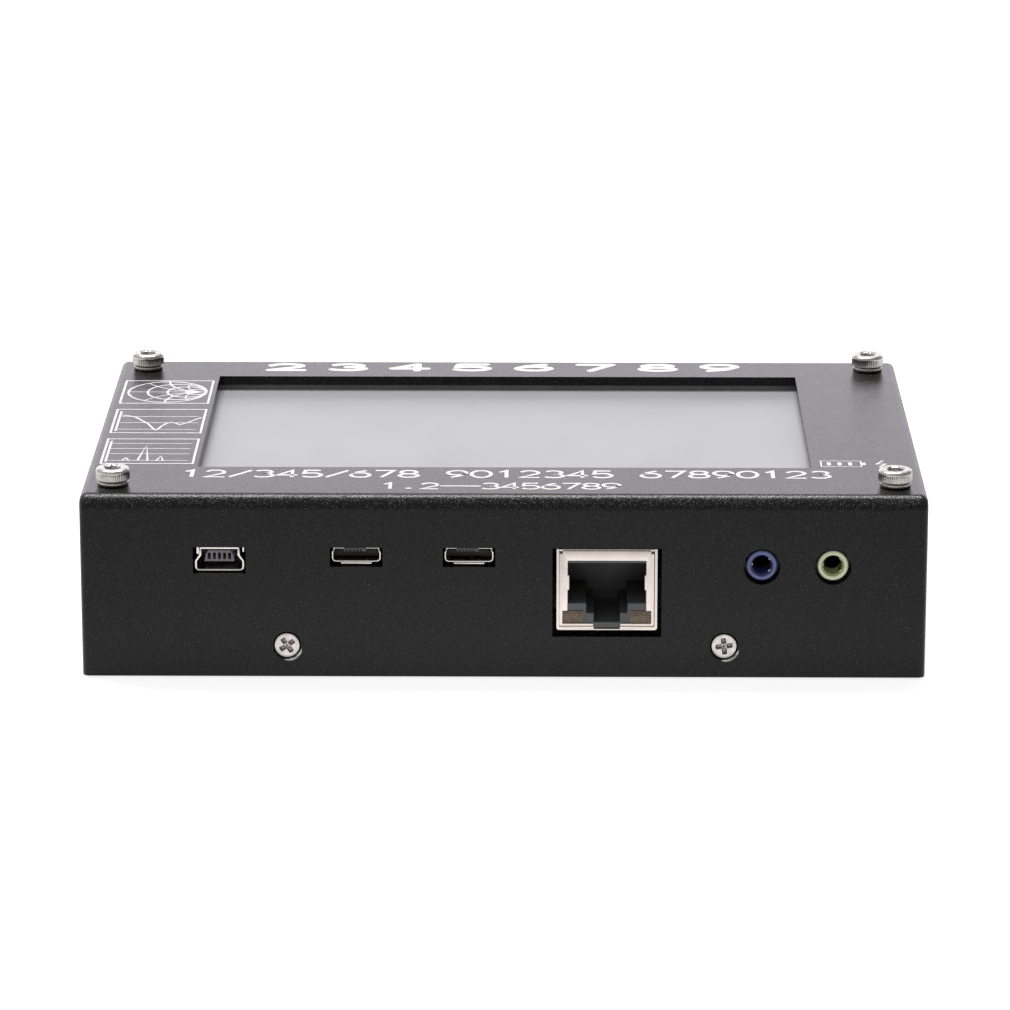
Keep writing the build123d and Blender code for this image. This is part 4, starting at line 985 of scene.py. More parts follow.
@dataclass
class Studio:
    """The camera, the pale floor and the soft light round the object.

    The eye is in millimetres, the three angles in degrees. The floor glows
    for the camera, and shines for reflections by one strength near the object
    and another far from it. The sky is brighter along its tilt.
    """

    panels: tuple[Panel, ...] = (
        Panel("top_panel", (-0.15, 0.36, 1.05), (0.0, 0.0, 0.0), (0.9, 0.15), 18.0),
        Panel("back_panel", (0.0, 1.9, 0.5), (0.0, 0.0, 0.08), (3.0, 0.9), 11.6, (1.0, 0.935, 1.04)),
        Panel("front_fill", (0.0, -1.6, 0.7), (0.0, 0.0, 0.0), (1.6, 0.8), 4.0, mirrored=False),
    )
    eye: Point = (6.88, -793.56, 245.73)
    yaw: float = -0.506
    pitch: float = 16.151
    roll: float = 0.005
    lens: float = 178.36
    clip: Flat = (0.01, 30.0)
    floor_side: float = 8.0
    floor_drop: float = 0.0003
    floor_glow: float = 0.8
    floor_shine: Flat = (1.2, 0.5)
    floor_fade: Flat = (0.05, 0.14)
    floor_shade: float = 0.36
    floor_roughness: float = 0.9
    floor_specular: float = 0.1
    sky: float = 0.52
    sky_tilt: Point = (-0.28, 0.1, 0.12)
    sky_range: Flat = (0.12, 1.3)

    def build(self) -> list[bpy.types.Object]:
        """Makes the whole studio and returns its floor.

        Returns:
            The floor, in a list.
        """
        bpy.context.scene.view_settings.view_transform = "Standard"
        self.camera()
        self.world()
        for panel in self.panels:
            panel.hang()
        return [self.floor()]

    def camera(self) -> None:
        """Sets the camera from its eye point and its three angles."""
        yaw, pitch, roll = (math.radians(angle) for angle in (self.yaw, self.pitch, self.roll))
        ahead = Vector((math.sin(yaw) * math.cos(pitch), math.cos(yaw) * math.cos(pitch), -math.sin(pitch)))
        right = Vector((math.cos(yaw), -math.sin(yaw), 0.0))
        right = Matrix.Rotation(roll, 3, ahead) @ right
        up = right.cross(ahead)
        data = bpy.data.cameras.new("camera")
        data.lens = self.lens
        data.clip_start, data.clip_end = self.clip
        thing = bpy.data.objects.new("camera", data)
        spin = Matrix((right, up, -ahead)).transposed().to_4x4()
        thing.matrix_world = Matrix.Translation(Vector(self.eye) * MM) @ spin
        bpy.context.scene.collection.objects.link(thing)
        bpy.context.scene.camera = thing

    def world(self) -> None:
        """Soft light from all round, brighter from the left, from behind and from above."""
        world = bpy.data.worlds.new("soft_room")
        bpy.context.scene.world = world
        graph = Graph(world)
        tilt = graph.add("ShaderNodeVectorMath", operation="DOT_PRODUCT")
        graph.feed(tilt.inputs[0], graph.add("ShaderNodeTexCoord").outputs["Generated"])
        graph.feed(tilt.inputs[1], self.sky_tilt)
        low, high = self.sky_range
        strength = graph.remap(tilt.outputs["Value"], (low - self.sky, high - self.sky), low, high)
        rays = graph.add("ShaderNodeLightPath").outputs
        choice = graph.add("ShaderNodeMix")
        first, second, result = MIX_NUMBER
        seen = graph.combined("MAXIMUM", rays["Is Camera Ray"], rays["Is Transmission Ray"])
        graph.feed(choice.inputs["Factor"], seen)
        graph.feed(choice.inputs[first], strength)
        graph.feed(choice.inputs[second], 1.0)
        background = graph.tree.nodes["Background"].inputs
        graph.feed(background["Color"], (1.0, 1.0, 1.0, 1.0))
        graph.feed(background["Strength"], choice.outputs[result])

    def floor(self) -> bpy.types.Object:
        """A wide white floor that keeps the object's shadow and reads as white.

        Returns:
            The floor.
        """
        half = self.floor_side / 2
        data = bpy.data.meshes.new("floor")
        data.from_pydata(
            [(x * half, y * half, -self.floor_drop) for x, y in ((-1, -1), (1, -1), (1, 1), (-1, 1))],
            [], [(0, 1, 2, 3)],
        )
        thing = bpy.data.objects.new("floor", data)
        bpy.context.scene.collection.objects.link(thing)
        material = bpy.data.materials.new("floor_paper")
        graph = Graph(material)
        sockets = graph.tree.nodes["Principled BSDF"].inputs
        graph.feed(sockets["Base Color"], (*[self.floor_shade] * 3, 1.0))
        graph.feed(sockets["Roughness"], self.floor_roughness)
        graph.feed(sockets["Specular IOR Level"], self.floor_specular)
        graph.feed(sockets["Emission Color"], (1.0, 1.0, 1.0, 1.0))
        rays = graph.add("ShaderNodeLightPath").outputs
        mirrored = graph.combined("MAXIMUM", rays["Is Glossy Ray"], rays["Is Transmission Ray"])
        reach = graph.add("ShaderNodeVectorMath", operation="LENGTH")
        graph.feed(reach.inputs[0], graph.place)
        shine = graph.remap(reach.outputs["Value"], self.floor_fade, *self.floor_shine)
        reflected = graph.combined("MULTIPLY", mirrored, shine)
        direct = graph.combined("MULTIPLY", rays["Is Camera Ray"], self.floor_glow)
        graph.feed(sockets["Emission Strength"], graph.combined("ADD", direct, reflected))
        data.materials.append(material)
        return thing


# --- The CAD solids that stay ---


@dataclass
class CadSolids:
    """Every CAD solid in its finish, some with their sharp edges eased."""

    eased: dict[str, float] = field(default_factory=lambda: {
        "network_housing": 0.08, "power_switch_body": 0.2, "charge_insert": 0.05,
        "line_in_jack": 0.15, "line_out_jack": 0.15, "window_gasket": 0.1,
        "connector_pin": 0.12, "connector_core": 0.15,
    })
    own: dict[str, Finish] = field(default_factory=lambda: {
        "network_housing": SOCKET_GREY, "window_gasket": GASKET_GREY,
    })
    weld: float = 0.001
    sharp: float = 40.0

    def build(self) -> list[bpy.types.Object]:
        """Dresses each node and eases the edges of those that show them.

        Returns:
            The CAD solids.
        """
        for name, thing in frame["nodes"].items():
            finish = self.own.get(name, FINISHES[SLOT_OF[name]])
            thing.data.materials.clear()
            thing.data.materials.append(PAINT.of(finish))
            if name in self.eased:
                self.ease(thing, self.eased[name])
        return list(frame["nodes"].values())

    def ease(self, thing: bpy.types.Object, width: float) -> None:
        """Rounds the sharp edges of a solid by that many millimetres.

        Args:
            thing: the solid.
            width: width of the rounding, in millimetres.
        """
        weld = thing.modifiers.new("weld", "WELD")
        weld.merge_threshold = self.weld * MM
        bevel = thing.modifiers.new("ease", "BEVEL")
        bevel.width = width * MM
        bevel.segments = 2
        bevel.limit_method = "ANGLE"
        bevel.angle_limit = math.radians(self.sharp)
        bevel.harden_normals = True


# --- Screws and washers ---


@dataclass
class CoverScrews:
    """Four low socket-head cap screws with knurled heads, each on a split lock washer.

    The ridges start and end in steps, each a share of their depth and a height.
    """

    places: tuple[Flat, ...] = ((-61.6, -35.6), (61.6, -35.6), (-61.6, 36.8), (61.6, 36.8))
    turns: tuple[float, ...] = (12.0, 31.0, 4.0, 49.0)
    head_radius: float = 2.675
    head_height: float = 2.0
    head_round: float = 0.52
    foot_bevel: float = 0.2
    foot_inset: float = 0.5
    ridges: int = 52
    ridge_depth: float = 0.075
    ridge_sharpness: float = 0.8
    ridge_top: float = 1.2
    ridge_start: tuple[Flat, ...] = ((0.6, 0.0), (1.0, 0.08))
    ridge_end: tuple[Flat, ...] = ((1.0, 0.0), (0.5, 0.07), (0.0, 0.12))
    points_per_ridge: int = 6
    hex_across: float = 2.5
    hex_mouth: float = 0.62
    hex_drops: tuple[Flat, ...] = ((1.0, 0.14), (0.84, 0.77), (0.5, 1.1))
    hex_marked: float = 0.6
    flat_marked: float = 0.05
    recess_marked: float = 0.5
    shank_radius: float = 1.45
    shank_length: float = 12.0
    thread_pitch: float = 0.5
    thread_depth: float = 0.3
    thread_points: int = 28
    thread_steps: int = 6
    washer_radii: Flat = (1.525, 2.5)
    washer_thickness: float = 0.68
    washer_lift: float = 0.12
    washer_round: float = 0.2
    washer_slit: float = 9.0
    washer_steps: int = 72
    slit_turns: tuple[float, ...] = (75.0, 130.0, 60.0, 110.0)

    def build(self) -> list[bpy.types.Object]:
        """Makes the four screws and their washers.

        Returns:
            The washers and screws.
        """
        made = []
        for number, ((x, y), turn, slit) in enumerate(zip(self.places, self.turns, self.slit_turns), 1):
            washer = self.washer(Face.TOP.seat(x, y, PLATE_TOP).turned(slit))
            made.append(washer.piece(f"lock_washer_{number}", FINISHES["stainless"], ["lock_washers"]))
            head = Face.TOP.seat(x, y, PLATE_TOP + self.washer_thickness + self.washer_lift).turned(turn)
            made.append(self.screw(head).piece(
                f"cover_screw_{number}", FINISHES["stainless"], ["cover_screws"], stain=DULL_TOP_AND_SHADE_STEEL,
            ))
        return made

    def knurled(self, radius: float, depth: float) -> list[Flat]:
        """A circle with upright ridges cut into it to that depth.

        Args:
            radius: radius over the ridges.
            depth: depth of the cuts between them.

        Returns:
            The outline.
        """
        count = self.ridges * self.points_per_ridge
        outline = []
        for i in range(count):
            turn = math.tau * i / count
            wave = 0.5 - 0.5 * math.cos(self.ridges * turn)
            outline.append(polar(radius - depth * wave ** self.ridge_sharpness, turn))
        return outline

    def hexagon(self, across: float) -> list[Flat]:
        """A hexagon with as many points as a knurled circle.

        Args:
            across: width across its flats.

        Returns:
            The outline.
        """
        count = self.ridges * self.points_per_ridge
        outline = []
        for i in range(count):
            turn = math.tau * i / count
            off = (turn + math.pi / 6) % (math.pi / 3) - math.pi / 6
            outline.append(polar(across / 2 / math.cos(off), turn))
        return outline

    def screw(self, seat: Seat) -> MeshMaker:
        """A cap screw with its head's underside on the seat.

        Args:
            seat: the middle of the head's underside.

        Returns:
            The maker that holds the head and the threaded shank.
        """
        radius, top = self.head_radius, self.head_height
        plain = self.knurled(radius, 0.0)
        cut = self.ridge_depth
        rows = [level(inset(plain, away), 0.0) for away in (self.foot_inset, self.foot_bevel)]
        for base, steps in ((self.foot_bevel, self.ridge_start), (self.ridge_top, self.ridge_end)):
            rows += [level(self.knurled(radius, cut * share), base + rise) for share, rise in steps]
        rim = reversed(quarter(self.head_round, 6))
        rows += [level(inset(plain, away), top - drop) for away, drop in rim]
        rows.append(level(self.knurled(self.hex_across * self.hex_mouth, 0.0), top))
        rows += [level(self.hexagon(self.hex_across * share), top - drop) for share, drop in self.hex_drops]
        return MeshMaker(seat).loft(rows).mark(self.dull_top_and_shaded_recess).loft(self.thread())

    def dull_top_and_shaded_recess(self, spots: Sequence[Vector]) -> bool:
        """Whether a face of the head takes the darker steel: its flat top, a duller finish, and its hex
        recess, where the darker steel is painted shade.

        Args:
            spots: the face's points on the seat.

        Returns:
            True for such a face.
        """
        inside = max(math.hypot(spot.x, spot.y) for spot in spots) < self.hex_across * self.hex_marked
        flat = min(spot.z for spot in spots) > self.head_height - self.flat_marked
        return flat or (inside and spots[0].z > self.recess_marked)

    def thread(self) -> list[list[Point]]:
        """Sections of the threaded shank, from its tip up into the head.

        Returns:
            The sections in order.
        """
        count, steps = self.thread_points, self.thread_steps
        rows = []
        for k in range(int(self.shank_length / self.thread_pitch * steps) + 1):
            z = -self.shank_length + k * self.thread_pitch / steps
            narrow = max(0.0, self.thread_depth - (z + self.shank_length))
            row = []
            for i in range(count):
                cut = self.thread_depth * thread_cut(z, i / count, self.thread_pitch)
                row.append((*polar(self.shank_radius - cut - narrow, math.tau * i / count), z))
            rows.append(row)
        return rows

    def washer(self, seat: Seat) -> MeshMaker:
        """A split ring whose cut ends stand apart in height.

        Args:
            seat: the middle of its underside.

        Returns:
            Its maker.
        """
        inner, outer = self.washer_radii
        thick, edge = self.washer_thickness, self.washer_round
        corners = ((inner, 0.0), (outer, 0.0), (outer, thick), (inner, thick))
        section = rounded([(*corner, edge) for corner in corners], 3)
        start = self.washer_slit / 2
        count = self.washer_steps
        rows = []
        for k in range(count + 1):
            turn = math.radians(start + (360 - self.washer_slit) * k / count)
            lift = self.washer_lift * (1 - k / count)
            rows.append([(*polar(reach, turn), z + lift) for reach, z in section])
        return MeshMaker(seat).loft(rows)


@dataclass
class TrayScrews:
    """Four countersunk cross-recess screws, with the bare metal rings of their seats."""

    front_x: tuple[float, ...] = (-34.1, 34.75)
    rear_x: tuple[float, ...] = (-20.0, 20.0)
    height: float = 5.1
    turns: tuple[float, ...] = (35.0, 6.0, 20.0, -15.0)
    sunk: float = 0.12
    head_radius: float = 1.98
    head_height: float = 1.0
    shank_radius: float = 0.95
    length: float = 5.5
    arm: Flat = (0.42, 1.26)
    arm_half_width: float = 0.31
    pocket_depth: float = 0.4
    dish: Flat = (0.62, 0.16)
    recess_shade_share: float = 0.3
    soft: float = 0.16
    rings: int = 30
    grid_radius: float = 1.5
    spokes: int = 96
    rim_line: tuple[Flat, ...] = ((0.24, 0.0), (0.2, 0.03), (0.12, 0.0), (0.06, 0.02), (0.0, 0.1))
    tip_bevel: float = 0.3
    seat_line: tuple[Flat, ...] = (
        (2.585, -0.02), (2.45, -0.03), (2.3, -0.06), (2.2, -0.13), (2.15, -0.24), (2.14, -0.4),
    )
    seat_back: tuple[Flat, ...] = ((2.19, -0.42), (2.59, -0.022))
    seat_points: int = 72
    bare_from: float = -100.0
    bare_to: float = -14.0
    bare_span: Flat = (2.17, 2.58)
    bare_grid: tuple[int, int] = (28, 5)
    bare_tip: float = 0.06
    bare_fullness: float = 0.7
    bare_sway: Flat = (0.02, 9.0)
    bare_heights: Flat = (0.012, -0.03)

    def build(self) -> list[bpy.types.Object]:
        """Makes the screws of the front and rear walls.

        Returns:
            The screws and their seats.
        """
        seats = [Face.FRONT.seat(x, FRONT_WALL, self.height) for x in self.front_x]
        seats += [Face.REAR.seat(x, REAR_WALL, self.height) for x in self.rear_x]
        made = []
        for number, (seat, turn) in enumerate(zip(seats, self.turns), 1):
            screw = self.screw(seat.turned(turn))
            made.append(screw.piece(f"tray_screw_{number}", WORN_STEEL, ["tray_screws"], stain=RECESS_SHADE_STEEL))
            collar = MeshMaker(seat).turned([*self.seat_line, *self.seat_back], self.seat_points, looped=True)
            made.append(collar.piece(f"coated_seat_{number}", FINISHES["case_coat"]))
            made.append(self.bare_seat(seat).piece(f"bare_seat_{number}", SCRAPED_METAL))
        return made

    def sink(self, x: float, y: float) -> float:
        """How deep the cross recess is at a point of the head's face.

        Args:
            x: place across the face.
            y: place up the face.

        Returns:
            The depth in millimetres.
        """
        near, far = self.arm
        along, across = max(abs(x), abs(y)), min(abs(x), abs(y))
        share = 1.0
        for gap in (self.arm_half_width - across, far - along, along - near):
            share *= min(1.0, max(0.0, 0.5 + gap / self.soft))
        reach, depth = self.dish
        hollow = max(0.0, 1 - (math.hypot(x, y) / reach) ** 2) * depth
        return max(share * self.pocket_depth, hollow)

    def screw(self, seat: Seat) -> MeshMaker:
        """A countersunk screw with four pockets and a shallow dish in its face.

        Args:
            seat: the middle of the wall's hole, in the wall's outer face.

        Returns:
            The maker that holds the screw; the deeper part of its recess is marked with material 1, a darker
            steel as painted shade.
        """
        face = -self.sunk
        round_line = circle(1.0, self.spokes)
        rows = [[(0.0, 0.0, face - self.sink(0.0, 0.0))]]
        for k in range(1, self.rings + 1):
            reach = self.grid_radius * k / self.rings
            ring = [(x * reach, y * reach) for x, y in round_line]
            rows.append([(x, y, face - self.sink(x, y)) for x, y in ring])
        profile = [(self.head_radius - away, drop) for away, drop in self.rim_line]
        profile += [
            (self.shank_radius, self.head_height), (self.shank_radius, self.length - self.tip_bevel),
            (self.shank_radius - self.tip_bevel, self.length),
        ]
        rows += [[(x * reach, y * reach, face - drop) for x, y in round_line] for reach, drop in profile]
        return MeshMaker(seat).loft(rows).mark(self.shaded_recess)

    def shaded_recess(self, spots: Sequence[Vector]) -> bool:
        """Whether a face of the screw lies deep enough in its recess to take the painted shade.

        Args:
            spots: the face's points on the seat.

        Returns:
            True for such a face.
        """
        depth = -self.sunk - sum(spot.z for spot in spots) / len(spots)
        inside = max(math.hypot(spot.x, spot.y) for spot in spots) < self.grid_radius
        return inside and depth > self.pocket_depth * self.recess_shade_share

    def seat_height(self, reach: float) -> float:
        """Height of the coated seat at a distance from the screw's axis.

        Args:
            reach: distance from the axis.

        Returns:
            The height in millimetres.
        """
        for (outer, high), (inner, low) in zip(self.seat_line, self.seat_line[1:]):
            if inner <= reach <= outer and outer > inner:
                return low + (high - low) * (reach - inner) / (outer - inner)
        return self.seat_line[0][1]

    def bare_seat(self, seat: Seat) -> MeshMaker:
        """A crescent of the seat where the coat has been scraped away.

        Args:
            seat: the middle of the wall's hole, in the wall's outer face.

        Returns:
            The maker that holds the crescent.
        """
        count, across = self.bare_grid
        near, far = self.bare_span
        sway, waves = self.bare_sway
        rise, fall = self.bare_heights
        rows = []
        for k in range(count + 1):
            share = k / count
            turn = math.radians(self.bare_from + (self.bare_to - self.bare_from) * share)
            swell = math.sin(math.pi * share) ** self.bare_fullness
            width = self.bare_tip + (far - near - self.bare_tip) * swell
            middle = far - (far - near) * 0.5 - sway * math.sin(waves * math.pi * share)
            reaches = [middle + width * (i / across - 0.5) for i in range(across + 1)]
            above = [(reach, self.seat_height(reach) + rise) for reach in reaches]
            below = [(reach, high + fall) for reach, high in reversed(above)]
            rows.append([(*polar(reach, turn), z) for reach, z in above + below])
        return MeshMaker(seat).loft(rows)


# --- Sockets ---


@dataclass
class SerialPorts:
    """The drawn shells, plastic tongues and contacts of the mini, micro and charge sockets."""

    face_y: float = -41.7
    top_z: float = 21.05
    sheet: float = 0.3
    rim_steps: int = 6
    rim_roll: float = 0.6
    brow_from: float = -0.75
    brow_ramp: float = 0.4
    mini_x: float = -44.6
    mini_length: float = 9.0
    mini_sheet: float = 0.4
    mini_brow: float = 0.12
    mini_corners: tuple[Point, ...] = (
        (-3.96, -4.05, 0.8), (3.96, -4.05, 0.8), (3.96, -2.25, 0.5), (3.24, -1.3, 0.5),
        (3.24, 0.0, 0.45), (-3.24, 0.0, 0.45), (-3.24, -1.3, 0.5), (-3.96, -2.25, 0.5),
    )
    mini_ears: tuple[Point, ...] = ((-3.42, 0.4, 1.3), (3.77, 0.32, 0.95))
    ear_top: float = 0.08
    ear_length: float = 0.6
    ear_round: float = 0.1
    ear_edge: float = 0.08
    mini_foot: float = 2.1
    mini_tongue: tuple[Point, ...] = (
        (-2.33, -2.42, 0.08), (2.33, -2.42, 0.08), (2.2, -1.35, 0.15),
        (1.72, -0.62, 0.2), (-1.72, -0.62, 0.2), (-2.2, -1.35, 0.15),
    )
    mini_tongue_front: float = 0.16
    mini_slot: Flat = (0.44, 1.05)
    mini_slot_y: float = -1.55
    mini_slot_round: float = 0.06
    mini_contact_drop: float = 0.05
    mini_contact_set: float = 2.2
    mini_pitch: float = 0.8
    mini_block: float = 3.0
    block_edge: float = 0.05
    wall_steps: int = 5
    micro_x: tuple[float, ...] = (-23.1, -5.4)
    micro_length: float = 5.6
    micro_corners: tuple[Point, ...] = (
        (-3.88, -2.44, 0.75), (3.88, -2.44, 0.75), (3.88, -0.74, 0.06), (3.72, -0.62, 0.06),
        (3.64, -0.04, 0.3), (-3.64, -0.04, 0.3), (-3.72, -0.62, 0.06), (-3.88, -0.74, 0.06),
    )
    micro_sheet: float = 0.24
    micro_brow: float = 0.17
    micro_foot: float = 1.925
    lip_half: Flat = (2.36, 2.5)
    lip_y: Flat = (-2.82, -2.47)
    lip_round: float = 0.08
    lip_edge: float = 0.07
    comb_half: float = 1.72
    comb_x: float = -0.2
    comb_y: Flat = (-0.72, -0.16)
    comb_notch: Flat = (0.32, 0.34)
    comb_pitch: float = 0.56
    comb_start: float = 0.75
    comb_rounds: Flat = (0.06, 0.03)
    comb_front: float = 0.06
    micro_block: float = 1.6
    micro_contact_set: float = 0.8
    contacts: int = 5
    contact_size: Flat = (0.26, 0.08)
    contact_round: float = 0.02
    foot: Point = (0.8, 3.0, 0.25)
    foot_round: float = 0.05
    charge_at: Point = (65.7, -25.0, 4.1)
    charge_length: float = 5.4
    charge_corners: tuple[Point, ...] = (
        (-3.8, 0.0, 0.3), (3.8, 0.0, 0.3), (3.8, 1.85, 0.36), (2.95, 2.7, 0.36),
        (-2.95, 2.7, 0.36), (-3.8, 1.85, 0.36),
    )

    def build(self) -> list[bpy.types.Object]:
        """Makes the four sockets.

        Returns:
            Their pieces.
        """
        made = self.mini(Face.FRONT.seat(self.mini_x, self.face_y, self.top_z))
        for number, x in enumerate(self.micro_x, 1):
            made += self.micro(Face.FRONT.seat(x, self.face_y, self.top_z), number)
        charge = self.shell(
            Face.RIGHT.seat(*self.charge_at), self.charge_corners, self.charge_length, self.sheet,
        )
        made.append(charge.piece("charge_port_shell", FINISHES["nickel"], ["charge_socket"]))
        return made

    def mini(self, seat: Seat) -> list[bpy.types.Object]:
        """The mini socket: shell with two ears, slotted tongue, rear block in black plastic as painted shade
        deep in the socket, and contacts.

        Args:
            seat: the middle of its upper edge, in the plane of the rim.

        Returns:
            Its pieces.
        """
        shell = self.shell(seat, self.mini_corners, self.mini_length, self.mini_sheet, self.mini_brow)
        for middle, width, height in self.mini_ears:
            ear = box((middle, self.ear_top - height / 2), (width, height), self.ear_round, 3)
            shell.block(ear, -self.mini_sheet - self.ear_length, -self.ear_round, self.ear_edge)
        for side in (-1, 1):
            self.stand(shell, side * self.mini_foot, self.mini_length / 2)
        tongue = MeshMaker(seat)
        spots = [self.mini_pitch * (k - (self.contacts - 1) / 2) for k in range(self.contacts)]
        slots = [box((spot, self.mini_slot_y), self.mini_slot, self.mini_slot_round) for spot in spots]
        rear = -self.mini_length + self.mini_block
        tongue.plate(rounded(self.mini_tongue, 3), slots, rear, -self.mini_tongue_front, self.block_edge)
        hollow = inset(rounded(self.mini_corners, self.wall_steps), self.mini_sheet)
        # The rear block is black plastic, darker than the tongue: painted shade deep in the socket.
        block = MeshMaker(seat).block(hollow, -self.mini_length, rear, self.block_edge)
        top = self.mini_slot_y - self.mini_contact_drop
        contacts = self.strips(seat, spots, top, (rear, -self.mini_tongue_front - self.mini_contact_set))
        return [
            shell.piece("mini_port_shell", BRIGHT_SHELL, ["mini_usb_shell"]),
            tongue.piece("mini_port_tongue", FINISHES["grey_plastic"], ["mini_usb_insert"]),
            block.piece("mini_port_block", FINISHES["black_plastic"]),
            contacts.piece("mini_port_contacts", FINISHES["brass_plate"], ["mini_usb_contacts"]),
        ]

    def micro(self, seat: Seat, number: int) -> list[bpy.types.Object]:
        """A micro socket: shell with a flared lip, comb-like tongue, rear block and contacts.

        Args:
            seat: the middle of its upper edge, in the plane of the rim.
            number: which of the two it is.

        Returns:
            Its pieces.
        """
        shell = self.shell(seat, self.micro_corners, self.micro_length, self.micro_sheet, self.micro_brow)
        (low_half, high_half), (low, high) = self.lip_half, self.lip_y
        corners = ((-low_half, low), (low_half, low), (high_half, high), (-high_half, high))
        lip = rounded([(x, y, self.lip_round) for x, y in corners], 3)
        shell.block(lip, -self.sheet, 0.0, self.lip_edge)
        for side in (-1, 1):
            self.stand(shell, side * self.micro_foot, self.micro_length / 2)
        foot, top = self.comb_y
        width, depth = self.comb_notch
        left, right = self.comb_x - self.comb_half, self.comb_x + self.comb_half
        spots = [left + self.comb_pitch * (k + self.comb_start) for k in range(self.contacts)]
        outer, inner = self.comb_rounds
        comb = [(right, top, 0.0), (left, top, 0.0), (left, foot, outer)]
        for spot in spots:
            near, far, deep = spot - width / 2, spot + width / 2, foot + depth
            comb += [(near, foot, inner), (near, deep, inner), (far, deep, inner), (far, foot, inner)]
        comb.append((right, foot, outer))
        rear = -self.micro_length + self.micro_block
        insert = MeshMaker(seat).plate(rounded(comb, 2), [], rear, -self.comb_front, inner)
        hollow = inset(rounded(self.micro_corners, self.wall_steps), self.micro_sheet)
        insert.block(hollow, -self.micro_length, rear, self.block_edge)
        contacts = self.strips(seat, spots, foot + depth, (rear, -self.comb_front - self.micro_contact_set))
        return [
            shell.piece(f"micro_port_shell_{number}", BRIGHT_SHELL, ["micro_usb_shells"]),
            insert.piece(f"micro_port_insert_{number}", TONGUE_GREY, ["micro_usb_inserts"]),
            contacts.piece(f"micro_port_contacts_{number}", FINISHES["brass_plate"], ["micro_usb_contacts"]),
        ]

    def strips(self, seat: Seat, spots: Sequence[float], top: float, reach: Flat) -> MeshMaker:
        """Flat contact strips side by side.

        Args:
            seat: the seat of their socket.
            spots: the middle of each one, across.
            top: height of their upper faces.
            reach: heights of their rear and front ends on the outward axis.

        Returns:
            Their maker.
        """
        maker = MeshMaker(seat)
        for spot in spots:
            outline = box((spot, top - self.contact_size[1] / 2), self.contact_size, self.contact_round)
            maker.block(outline, *reach, self.contact_round)
        return maker

    def shell(
        self, seat: Seat, corners: Sequence[Point], length: float, sheet: float, brow: float = 0.0
    ) -> MeshMaker:
        """A tube of sheet with a rolled rim.

        Args:
            seat: where the outline's zero lies, in the plane of the rim.
            corners: the outline's corners.
            length: depth of the tube behind the rim.
            sheet: thickness of the sheet.
            brow: how far the upper side of the rim is set back.

        Returns:
            The maker that holds the tube.
        """
        outline = rounded(corners, self.wall_steps)
        half = sheet / 2
        rows = [level(outline, -length)]
        for k in range(self.rim_steps + 1):
            turn = math.pi * k / self.rim_steps
            drop = half * self.rim_roll * (math.sin(turn) - 1)
            row = []
            for x, y in inset(outline, half * (1 - math.cos(turn))):
                share = min(1.0, max(0.0, (y - self.brow_from) / self.brow_ramp))
                row.append((x, y, drop - brow * share))
            rows.append(row)
        rows.append(level(inset(outline, sheet), -length))
        return MeshMaker(seat).loft(rows, looped=True)

    def stand(self, maker: MeshMaker, x: float, depth: float) -> None:
        """A foot that joins a shell to the board above it.

        Args:
            maker: the shell's maker.
            x: the foot's middle, across.
            depth: the foot's middle, behind the rim.
        """
        width, length, height = self.foot
        outline = box((x, height / 2), (width, height), self.foot_round)
        maker.block(outline, -depth - length / 2, -depth + length / 2, self.foot_round)


